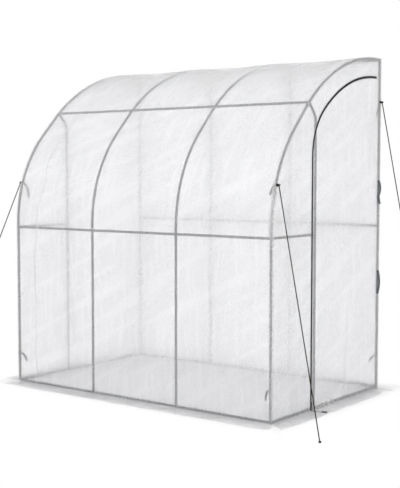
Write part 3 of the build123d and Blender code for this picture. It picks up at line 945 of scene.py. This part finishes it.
roof_rail_rise = sum(length for length, _ in arch_steps(sheet_offset, 0, 0)[:3])
roof_rail_rise += (upper_radius + sheet_offset) * (roof_rail_turn - lower_turn)
held_rises = (0.0, mid_rail_z, roof_rail_rise, rise[-1, 0])
slack = hold(rise, held_rises, held_near) * hold(x, hoop_x, held_near)
belly = np.sin(np.pi * (x + end_x) / (hoop_x[1] - hoop_x[0])) ** 2
sag = roof_sag * belly * np.clip((rise - sag_start) / sag_fade, 0, 1)
print(f"the roof sags by up to {sag.max() * 1000:.1f} mm")

# %% Creases of the front and roof
moved = creases(
    rise, x, count=90, seed=3, spans=((0.0, 1.0), (-1.0, 1.0)),
    lean=(-0.12, 0.12), width=(0.012, 0.030), depth=(-0.0022, 0.0022),
)
moved += creases(
    rise, x, count=60, seed=5, spans=((1.1, 2.8), (-1.0, 1.0)),
    lean=(-0.5, 0.5), width=(0.015, 0.040), depth=(-0.0020, 0.0022),
)
moved += creases(
    rise, x, count=14, seed=8, spans=((1.15, 1.55), (0.55, 0.95)),
    lean=(0.9, 1.8), width=(0.030, 0.060), depth=(0.002, 0.005),
)
moved = (moved - sag) * slack
print(f"creases from {moved.min() * 1000:.1f} to {moved.max() * 1000:.1f} mm")

# %% Ripples and corner of the skirt
ripple_height = 0.003
ripples, ripple_shift, ripple_drift = 21, 1.5, 4.7  # the skirt's waves along X, unevenly spaced
corner_start = 0.82  # where the skirt starts to spread to the right corner
corner_reach, corner_round, corner_draw = 0.085, 0.035, 0.022  # how far it spreads, is rounded and drawn in

on_ground = np.clip((skirt - distance[:, None]) / skirt, 0, 1)
ripple = 0.5 + 0.5 * np.sin(x * ripples + ripple_shift * np.sin(x * ripple_drift))
moved = np.where(rise < 0, on_ground * ripple_height * ripple, moved) + seam_height * seam * (rise > 0)
corner = np.clip((x - corner_start) / (end_face - corner_start), 0, 1) ** 2 * on_ground
print(f"the skirt's corner spreads by {(corner_reach - corner_round) * 1000:.0f} mm")

# %% Front and roof sheet
path_y, path_z, heading = (column[:, None] for column in take(front_line, distance).T[:3])
front = gather(
    x + corner_reach * corner - corner_round * corner**4,
    path_y - np.sin(heading) * moved + corner_draw * corner**3,
    path_z + np.cos(heading) * moved,
)
front_uv = gather(x, distance[:, None])
front_sheet = add_film("film_front_and_roof", front, front_uv, "cover_front_and_roof", marks={"seam": seam})

# %% Hem strips
hem_lift, hem_thickness = 0.0009, 0.0005
hem_top = 1.40
seam_veil = 1.15


def strip_on(name, middle, uv, veil, body="frame_and_cover"):
    """A narrow strip of hem on a sheet: part of its grid, moved out along its normals to lie on it."""
    lifted = middle + normals(middle) * hem_lift
    marks = {"veil": np.broadcast_to(veil, middle.shape[:2])}
    return add_sheet(name, lifted, uv, hem_film, "cover_film", hem_thickness, marks=marks, body=body)


def hem_veil(height):
    """How thickly the hem covers the corner tube: thin low down, thick above the mid rail, then none."""
    return np.interp(height, (0.05, 0.98, 1.04, 1.28, hem_top), (0.16, 0.22, 0.85, 0.75, 0.0))


print(f"corner hem up to {hem_top:.2f} m")

# %% Hems of the front
for name, chosen, reach_up in (
    ("hem_front_right", columns > end_face - hem_width - 1e-6, hem_top),
    ("hem_front_seam", np.abs(columns - seam_x) < seam_half, rise[-1, 0]),
):
    walls = (distance > skirt) & (rise[:, 0] <= reach_up)
    veil = hem_veil(rise[walls]) if reach_up == hem_top else seam_veil
    strip_on(name, front[walls][:, chosen], front_uv[walls][:, chosen], veil)

# %% [markdown]
# ## Right end sheet
# The right end is a flat sheet with the doorway cut out of it, which leaves a band: up the front, over
# the door and down behind it. A Boolean cut would leave uneven faces along the curve, so it is one grid
# between two lines, the edge of the house outside and the zip inside. Both ends of the band turn out into
# a skirt on the ground.

# %% Door line
door_shoulder, shoulder_turn = 0.506, np.radians(50.0)  # height of the curve, and turn of its tight arc
zip_half, zip_end = 0.006, 0.020  # half the zip's width, and its straight end at the hinge
hinge_gap = 0.0005  # between the flap's solid and its hinge
zip_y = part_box("zip_row_fixed")[0].y + zip_half
zip_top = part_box("zip_row_fixed")[1].z - zip_half
hinge_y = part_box("door_flap")[1].y + hinge_gap
shoulder_run = hinge_y - zip_end - zip_y
growth = (shoulder_run - door_shoulder) / (np.cos(shoulder_turn) + np.sin(shoulder_turn) - 1)
shoulder_radius = shoulder_run - growth * np.cos(shoulder_turn)
crown_radius = shoulder_radius + growth
crown_turn = np.pi / 2 - shoulder_turn


def door_line(offset, bottom, tail):
    """The zip's line in Y and Z, an offset outside its middle: up, a tight arc, a wide arc, and a tail."""
    straight = (zip_top - door_shoulder - bottom, 0)
    shoulder = ((shoulder_radius + offset) * shoulder_turn, -shoulder_turn)
    crown = ((crown_radius + offset) * crown_turn, -crown_turn)
    return trace((zip_y - offset, bottom), np.pi / 2, [straight, shoulder, crown, (max(tail, 1e-4), 0)])


print(f"zip from y {zip_y:.3f}, top {zip_top:.3f}, hinge at y {hinge_y:.3f}")

# %% Skirts and edges of the end sheets
edge_offset = 0.0090  # bow middle to the edge of an end sheet
sheet_x = end_x + sheet_offset
wall_foot = ground + fold
skirt_points, wall_points = 16, 130  # from a skirt's edge to the wall, and up the wall
skirt_out = evenly(trace((-skirt, ground), 0, skirt_steps), skirt_points)
skirt_rows = skirt_points - 1


def between(one, other, share):
    """Points between two edges: one minus the share of the first, plus the share of the second."""
    return one * (1 - share) + other * share


def rising(line):
    """The part of a traced line that still climbs, at evenly spaced distances."""
    return evenly(line[line[:, 2] > 1e-6], wall_points)


def hung_rows(edge, skirt_line):
    """How far out and how high each row of a sheet is, and where its edge is: skirt rows, then wall rows."""
    out = np.r_[skirt_line[:-1, 0], np.zeros(len(edge))]
    high = np.r_[skirt_line[:-1, 1], edge[:, 1]]
    edge_y = np.r_[np.repeat(edge[:1, 0], skirt_rows), edge[:, 0]]
    return out[:, None], high[:, None], edge_y[:, None]


def skirt_waves(out, y, height, waves):
    """Soft waves in a skirt: a raised sine along it, which grows from the wall to the skirt's edge."""
    return np.clip(-out / skirt, 0, 1) * height * (0.5 + 0.5 * np.sin(y * waves))


print(f"skirts reach {-skirt_out[0, 0]:.3f} m out")

# %% Band round the doorway
band_columns, arch_rows, drop_rows = 34, 150, 90  # points across the band, along its arch, and down the back

across = np.linspace(0, 1, band_columns)[None, :]
outer = evenly(arch(edge_offset, wall_foot, edge_offset), arch_rows)[:, :2]
inner = evenly(door_line(zip_half, wall_foot, zip_end), arch_rows)[:, :2]
down = np.linspace(1, 0, drop_rows)[1:, None]
outer_back = (back_y + edge_offset, wall_foot) + down * (0, outer[-1, 1] - wall_foot)
inner_back = (hinge_y, wall_foot) + down * (0, inner[-1, 1] - wall_foot)
band = between(np.r_[inner, inner_back][:, None], np.r_[outer, outer_back][:, None], across[..., None])
print(f"band of {len(band)} rows of {band_columns} points")

# %% Skirts of the band
spread_reach, spread_draw = 0.065, 0.016  # how far the skirt's front corner spreads, and is drawn in

# the front skirt's rows come first, then the band's, then the back skirt's
out, high = (np.r_[part[:-1], np.zeros(len(band)), part[-2::-1]][:, None] for part in skirt_out.T[:2])
wall = np.concatenate([np.repeat(band[:1], skirt_rows, 0), band, np.repeat(band[-1:], skirt_rows, 0)])
y = wall[..., 0]
height = np.where(out < 0, high, wall[..., 1])
front_skirt = (np.arange(len(wall)) < skirt_rows)[:, None]
spread = np.clip(-out / skirt, 0, 1) * np.clip((across - 0.5) / 0.5, 0, 1) ** 2 * front_skirt
flat = gather(sheet_x - out - spread_draw * spread**3, y - spread_reach * spread, height)
print(f"flat pattern of {flat_area(flat):.3f} square metres")

# %% Right end sheet
loose = np.sin(np.pi * across) ** 0.7 * (out == 0)
bulge = creases(
    wall[..., 1], y, count=46, seed=11, spans=((0.0, 2.0), (-0.56, 0.0)),
    lean=(-0.15, 0.15), width=(0.014, 0.035), depth=(0.0, 0.0035),
)
right = push(flat, bulge * loose + skirt_waves(out, y, height=0.003, waves=34))
right_sheet = add_film("film_right_end", right, gather(y, height - out), "cover_right_end")
print(f"right end sheet of {len(right)} rows")

# %% Hem of the right end
end_hem_top = hem_top - 0.1  # it stops lower than the front's

low_part = outer[:, 1] < end_hem_top
inward = unit((inner - outer)[low_part, None])
hem_yz = outer[low_part, None] + inward * np.linspace(0, hem_width, hem_columns)[None, ::-1, None]
hem_middle = gather(sheet_x, hem_yz[..., 0], hem_yz[..., 1])
right_hem = strip_on("hem_right_end", hem_middle, hem_yz, hem_veil(hem_yz[..., 1]))
print(f"hem of the right end up to {hem_yz[..., 1].max():.2f} m")

# %% [markdown]
# ## Left end and back sheets
# The left end has no door. It could be a copy of the right end with its doorway filled, but a whole sheet
# is simpler: its rows run from the bow to the back edge. The back sheet is a plain rectangle against the
# wall. Both have the same kind of soft creases as the rest of the cover.

# %% Left end sheet
held_close = 0.04  # tubes hold the left end and the back still to about this distance
left_columns = 84

out, high, bow_y = hung_rows(rising(arch(edge_offset, wall_foot, 0)), skirt_out)
y = between(bow_y, back_y + edge_offset, np.linspace(0, 1, left_columns)[None, :])
flat = gather(-sheet_x + out, y, high)
loose = hold(y, (front_y, door_post_y, back_y), held_close) * (out == 0)
bulge = creases(
    high, y, count=60, seed=13, spans=((0.0, 2.0), (-0.5, 0.65)),
    lean=(-0.12, 0.12), width=(0.016, 0.040), depth=(0.0, 0.0032),
)
left = push(flat, bulge * loose + skirt_waves(out, y, height=0.003, waves=27))
left_sheet = add_film("film_left_end", left, gather(y, high - out), "cover_left_end")
print(f"left end sheet {flat_area(flat):.3f} square metres")

# %% Back sheet
back_top = roof_z + 0.0088  # just under the roof sheet
back_columns, back_rows = 200, 150
x = np.linspace(-end_face, end_face, back_columns)[None, :]
z = np.linspace(ground, back_top, back_rows)[:, None]
bulge = creases(
    z, x, count=70, seed=17, spans=((0.0, 2.0), (-1.0, 1.0)),
    lean=(-0.10, 0.10), width=(0.016, 0.035), depth=(-0.0022, 0.0022),
)
bulge = bulge * hold(x, hoop_x, held_close) * hold(z, (base_rail_z, back_rail_z, roof_z), held_close)
back = gather(x, back_y + sheet_offset + bulge, z)
back_sheet = add_film("film_back", back, gather(x, z), "cover_back")

# %% [markdown]
# ## Door flap
# The door is the same film, cut to the curve of the zip and still joined to the end sheet along its back
# edge, where it folds when it opens. A flap that swung like a board would show a slot there. Here the flap
# is one sheet on no body, whose back edge lies just clear of the end sheet, and whose creases fade out
# towards its edges.

# %% Door flap
flap_ground = 0.0022  # the flap's skirt lies on the end sheet's
flap_gap = 0.0002  # between the flap's back edge and the end sheet
flap_held = 0.05  # the flap goes slack over this distance from its edges
cut_start, cut_back = 0.068, 0.153  # the skirt's back corner is cut off from here out, by this much
flap_columns = 70

flap_out = evenly(trace((-skirt, flap_ground), 0, skirt_steps), skirt_points)
out, high, zip_side = hung_rows(rising(door_line(-zip_half, flap_ground + fold, 0)), flap_out)
hinge_side = hinge_y - flap_gap - cut_back * np.clip((-out - cut_start) / (skirt - cut_start), 0, 1)
along_y = np.linspace(0, 1, flap_columns)[None, :]
y = between(hinge_side, zip_side, along_y)
flat = gather(sheet_x - out, y, high)
loose = np.clip(np.minimum(y - zip_side, hinge_y - y) / flap_held, 0, 1) * (out == 0)
bulge = creases(
    high, y, count=60, seed=23, spans=((0.0, 1.9), (-0.1, 0.6)),
    lean=(-0.12, 0.12), width=(0.020, 0.040), depth=(0.0, 0.0026),
)
flap = push(flat, bulge * loose + skirt_waves(out, y, height=0.004, waves=31))
flap_uv = gather(y, high - out)
flap_sheet = add_film("film_door_flap", flap, flap_uv, "door_flap", body=None)
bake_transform(flap_sheet)
print(f"door flap {flat_area(flat):.3f} square metres")

# %% Folds at the door's foot
fold_places, fold_width = (-0.100, -0.022, 0.028, 0.092), 0.011
foot_fade = np.array((0.1, 0.9, 1.0, 1.0, 0.05))[:, None]  # veil of each row, from the skirt to the wall
foot_from, foot_to = 0.64, 0.985  # part of the way from the hinge to the zip
plain_veil, fold_veil = 0.08, 0.95

foot_rows = slice(len(flap_out) - 4, len(flap_out) + 1)
foot_columns = (along_y[0] > foot_from) & (along_y[0] < foot_to)
foot_y = flap[len(flap_out), foot_columns, 1]
foot_folds = np.exp(-(((foot_y[:, None] - fold_places) / fold_width) ** 2)).sum(-1)
foot, foot_uv = flap[foot_rows][:, foot_columns], flap_uv[foot_rows][:, foot_columns]
foot_veil = foot_fade * (plain_veil + fold_veil * foot_folds)
foot_hem = strip_on("hem_door_foot", foot, foot_uv, foot_veil, "door")
print(len(fold_places), "white folds at the door's foot")

# %% [markdown]
# ## Zip
# A zip is two woven tapes, each with a row of teeth along its inner edge. The tapes are sewn behind the
# edges of the film. A tape is a narrow sheet that follows the door line. Teeth could be painted on it, but
# they stand out and catch the light, so each is a tapered block of six faces, and arrays place all of them
# along the line.

# %% Zip finishes
zip_rough = (0.25, 0.5)

teeth_finish, tree, shader = new_finish("black_teeth", colour=(0.016, 0.016, 0.017, 1), metal=0.0)
wear = placed(tree, wear_group, Vector=object_place(tree), Patches=40.0)
feed(tree, shader, rough=mapped(tree, wear["Cloud"], end=zip_rough))

metal_finish, tree, shader = new_finish("dark_zip_metal", metal=0.85)
wear = placed(tree, wear_group, Vector=object_place(tree), Patches=90.0)
colour = mix(tree, wear["Specks"], (0.06, 0.06, 0.062, 1), (0.24, 0.24, 0.245, 1))
feed(tree, shader, colour=colour, rough=mapped(tree, wear["Cloud"], end=zip_rough))
for node in ("zip_slider", "zip_pull"):
    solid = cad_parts[node]
    solid.data.materials.clear()
    solid.data.materials.append(metal_finish)
print("zip finishes ready")

# %% Zip tapes
tape_inner, tape_outer = 0.0001, 0.0092  # edges of a tape, from the middle of the zip
tape_step = 0.00095  # where a tape is sewn to the film, it lies this far behind it
tape_offsets = np.array([tape_inner, 0.0030, 0.0058, 0.0068, tape_outer])
tape_thickness = 0.001
tape_rows, tape_length = 420, 2.6


def tape_sheet(side, bottom, tail):
    """A narrow sheet along the zip: each row runs between two offsets from the zip's middle line."""
    lines = [evenly(door_line(side * offset, bottom, tail), tape_rows)[:, :2] for offset in tape_offsets]
    yz = np.stack(lines, 1)
    out = np.where(tape_offsets > zip_half, sheet_x - tape_step, sheet_x)
    middle = gather(out, yz[..., 0], yz[..., 1])
    uv = gather(tape_offsets[None, :], np.linspace(0, tape_length, tape_rows)[:, None])
    return (middle[:, ::-1], uv[:, ::-1]) if side > 0 else (middle, uv)


print(f"zip tapes {(tape_outer - tape_inner) * 1000:.1f} mm wide")

# %% Teeth
tooth_pitch, tooth_length, tooth_half = 0.0027, 0.0017, 0.0015
tooth_middle, tooth_stop = 0.0024, 0.002  # from the middle of the zip, and from its end
tooth_taper = (0.7, 0.8)  # a tooth's top, as a share of its root
tooth_out, tooth_root = 0.0027, 0.0003  # how far a tooth stands out of the zip's face, and goes into it


def teeth(side, bottom, phase):
    """Tapered blocks along the zip: each is a unit block scaled and turned to the line's heading there."""
    line = door_line(side * tooth_middle, bottom, 0)
    s = np.arange(phase + tooth_pitch, line[-1, 3] - tooth_stop, tooth_pitch)
    at = take(line, s)
    along = gather(0, np.cos(at[:, 2]), np.sin(at[:, 2]))[:, None]
    aside = np.cross((1.0, 0, 0), along)
    corner = np.array([(-1, -1), (1, -1), (1, 1), (-1, 1)], float)
    block = np.concatenate([np.c_[corner, np.zeros(4)], np.c_[corner * tooth_taper, np.ones(4)]])
    foot = gather(end_face - tooth_root, at[:, 0], at[:, 1])[:, None]
    points = foot + block[:, :1] * along * tooth_length / 2 + block[:, 1:2] * aside * tooth_half
    points = points + block[:, 2:] * np.array((tooth_out + tooth_root, 0, 0))
    faces = np.array([(3, 2, 1, 0), (4, 5, 6, 7), (0, 1, 5, 4), (1, 2, 6, 5), (2, 3, 7, 6), (3, 0, 4, 7)])
    return points, (faces[None] + 8 * np.arange(len(s))[:, None, None]).reshape(-1, 4)


print(f"a tooth every {tooth_pitch * 1000:.1f} mm")

# %% Rows of the zip
zip_rows = (  # name, side of the zip, foot, tail, first tooth, body
    ("fixed", 1, 0.0, zip_end, 0, "frame_and_cover"),
    ("door", -1, 0.0015, 0.0195, tooth_pitch / 2, None),
)
for name, side, bottom, tail, phase, body in zip_rows:
    middle, uv = tape_sheet(side, bottom, tail)
    tape = add_sheet(
        f"zip_tape_{name}", middle, uv, tape_finish, "zip_tape", tape_thickness,
        nodes=[f"zip_row_{name}"], body=body,
    )
    points, faces = teeth(side, bottom, phase)
    row = add_piece(f"zip_teeth_{name}", points, faces, teeth_finish, body)
    if body is None:
        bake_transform(tape)
        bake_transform(row)
    print(f"zip row {name}: {len(faces) // 6} teeth")

# %% Zip tail on the skirt
tail_rows, tail_columns = 60, 5
tail_reach, tail_width = 0.112, tape_outer - tape_inner
tail_start = (end_face + 0.0012, fold + 0.0020)  # just clear of the zip and of the skirt
tail_turn, turn_start, turn_length = np.radians(75), 0.072, 0.016  # its end stands on edge

tail_line = evenly(trace(tail_start, -np.pi / 2, [turn_up, (tail_reach - fold, 0)]), tail_rows)
twist = tail_turn * np.clip((tail_line[:, 3:] - turn_start) / turn_length, 0, 1)
over = np.linspace(-0.5, 0.5, tail_columns)[None, :] * tail_width
tail_y = zip_y - (tape_inner + tape_outer) / 2 + over * np.cos(twist)
tail_z = tail_line[:, 1:2] + (over + tail_width / 2) * np.sin(twist)
tail = gather(tail_line[:, :1], tail_y, tail_z)
add_sheet("zip_tail", tail, gather(over, tail_line[:, 3:]), tape_finish, "zip_tape", tape_thickness)
print("zip tail on the skirt")

# %% [markdown]
# ## Ribbons, straps and tabs
# Small ribbons tie the cover to the tubes from indoors, two loops of strap hold the door when it is
# rolled back, and a black webbing tab takes each guy rope. They could be boxes that are bent by modifiers,
# but they all are ribbons that only bend in different ways, so one function makes them from a line of
# points, a direction across it, and a thickness.

# %% Ribbon helpers
ribbon_columns = 7


def ribbon(line, across, width, thickness):
    """A ribbon as a closed shell: rows of points across a line, in a given direction."""
    spread = np.linspace(-0.5, 0.5, ribbon_columns)[None, :, None]
    middle = line[:, None] + spread * width * np.broadcast_to(across, line.shape)[:, None]
    uv = gather(spread[..., 0] * width, lengths_along(line)[:, None])
    return shell(middle, uv, thickness)


def join(shapes):
    """Several shapes made into one, with each one's faces counted on from the last one's points."""
    points, faces, uvs = zip(*shapes)
    starts = np.cumsum([0] + [len(part) for part in points])
    faces = [part + start for part, start in zip(faces, starts)]
    return np.concatenate(points), np.concatenate(faces), np.concatenate(uvs)


print("helpers: ribbon and join")

# %% Tie helper
tie_width, tie_thickness = 0.014, 0.0006
wrap_points, end_points, turn_points = 40, 26, 9  # round the tube, along the loose end, and where it turns
wrap_radius, wrap_growth = tube_radius + 0.0007, 0.0012  # a wrap starts at this radius and grows by this much
tie_limit = end_x + 0.0085  # an end that reaches the film lies along it
upright, wallward, rightward = np.eye(3)[::-1]


def tie(middle, axis, away, drop, throw, curl, turn):
    """A ribbon wound once round a tube, whose loose end leaves to one side and falls.

    Its end goes out by the throw and down by the drop. With no curl both grow evenly, which is a straight
    end; with full curl they follow a quarter of an ellipse, the sine and one minus the cosine of a right
    angle's parts. With no turn the ribbon's width stays along the tube, and with a full turn it swings to the
    side that the end leaves by.
    """
    a = np.linspace(-1.5 * np.pi, 0, wrap_points)[:, None]
    grow = wrap_radius + wrap_growth * np.linspace(0, 1, wrap_points)[:, None]
    wrap = middle + grow * (np.cos(a) * away + np.sin(a) * np.cross(axis, away))
    t = np.linspace(0, 1, end_points)[1:, None]
    out = t * (1 - curl) + np.sin(t * np.pi / 2) * curl
    fall = t * (1 - curl) + (1 - np.cos(t * np.pi / 2)) * curl
    end = wrap[-1] + throw * out * away - drop * fall * upright
    end[:, 0] = np.clip(end[:, 0], -tie_limit, tie_limit)
    line = np.concatenate([wrap, end])
    turned = turn * np.clip((np.arange(len(line)) - len(wrap)) / turn_points, 0, 1)[:, None]
    along = unit(np.gradient(line, axis=0))
    across = square_to(along, axis * (1 - turned) + away * turned)
    return ribbon(line, across, tie_width, tie_thickness)


print(f"ties {tie_width * 1000:.0f} mm wide")

# %% Cover ties
low_tie_z = 0.185
bow_tie_turn = np.radians(18.5)
bow_tie = (front_y + lower_radius * (1 - np.cos(bow_tie_turn)), bend_z + lower_radius * np.sin(bow_tie_turn))
back_tie_z = roof_z - 0.285
back_low_tie_z = low_tie_z + 0.037
bow_axis = np.array((0, np.sin(bow_tie_turn), np.cos(bow_tie_turn)))
bow_in = np.array((0, np.cos(bow_tie_turn), -np.sin(bow_tie_turn)))
back_out = unit(rightward - wallward * 2)
tie_rows = (  # middle of the tube there, its direction, where the end leaves, drop, throw, curl, turn
    ((-end_x, front_y, low_tie_z), upright, unit(wallward * 4 + rightward * 3), 0.055, 0.034, 0.7, 1),
    ((end_x, front_y, low_tie_z), upright, -rightward, 0.058, 0.022, 1.0, 1),
    ((-end_x, *bow_tie), bow_axis, bow_in, 0.085, 0.045, 1.0, 1),
    ((end_x, *bow_tie), bow_axis, -rightward, 0.055, 0.026, 0.3, 1),
    ((end_x, back_y, back_low_tie_z), upright, back_out, 0.032, 0.118, 0.5, 0),
    ((end_x, back_y, back_tie_z), upright, back_out, 0.062, 0.045, 0.4, 0),
)
points, faces, uv = join([tie(*row) for row in tie_rows])
add_piece("cover_tie_ribbons", points, faces, ribbon_finish, nodes=["cover_ties"], uv=uv)
print(len(tie_rows), "cover ties")

# %% Door straps
strap_width, strap_thickness, strap_length, strap_bulge = 0.024, 0.0012, 0.150, 0.012
strap_gap = 0.0008  # between a strap and the end sheet
strap_flare = 0.35  # share of the upper strap that flares out at its loose end
flare_height = 0.9  # how far the flare stands out, as a share of the bulge
strap_points = 60
strap_low, strap_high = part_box("door_straps")
strap_y = (strap_low.y + strap_high.y) / 2
strap_feet = (strap_low.z, strap_high.z - strap_length)


def strap(foot, flare):
    """A strap sewn flat at its top: it bows out from the sheet as a sine, and its end may flare out again."""
    t = np.linspace(0, 1, strap_points)
    away = strap_bulge * np.sin(np.pi * np.clip(t / (1 - flare), 0, 1)) ** 0.8
    flared = np.clip((t - 1 + flare) / max(flare, 1e-6), 0, 1) ** 1.5
    away = away + strap_bulge * flare_height * flared * (flare > 0)
    line = gather(end_face + strap_gap + away, strap_y, foot + strap_length * (1 - t))
    return ribbon(line, wallward, strap_width, strap_thickness)


points, faces, uv = join([strap(strap_feet[0], 0.0), strap(strap_feet[1], strap_flare)])
add_piece("door_strap_loops", points, faces, strap_finish, nodes=["door_straps"], uv=uv)
print("two door straps")

# %% Guy tabs
tab_width, tab_thickness, tab_gap = 0.014, 0.0011, 0.0002
tab_foot, tab_leg = 0.0094, 0.0042  # flat end, and how far the eye stands off
tab_corner, tab_eye = 0.0012, 0.0022  # radii of the bends and of the eye
tab_points = 90
tab_bend, tab_rise, tab_flat = (tab_corner * np.pi / 2, np.pi / 2), (tab_leg, 0), (tab_foot, 0)
tab_steps = [tab_flat, tab_bend, tab_rise, (tab_eye * np.pi, -np.pi), tab_rise, tab_bend, tab_flat]
tab_start = (-tab_foot - tab_corner - tab_eye, tab_thickness / 2 + tab_gap)
tab_section = evenly(trace(tab_start, 0, tab_steps, spacing=0.0002), tab_points)

for guy, (top, _) in guy_routes.items():
    outward = np.sign(top[0]) * rightward
    root = np.array(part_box(f"guy_tab_{guy}")).mean(0)
    root[0] = outward[0] * end_face
    lie = bow_axis if guy.startswith("front") else upright
    line = root + tab_section[:, :1] * np.cross(lie, outward) + tab_section[:, 1:2] * outward
    points, faces, uv = ribbon(line, lie, tab_width, tab_thickness)
    add_piece(f"webbing_tab_{guy}", points, faces, webbing_finish, nodes=[f"guy_tab_{guy}"], uv=uv)
print("three webbing tabs")
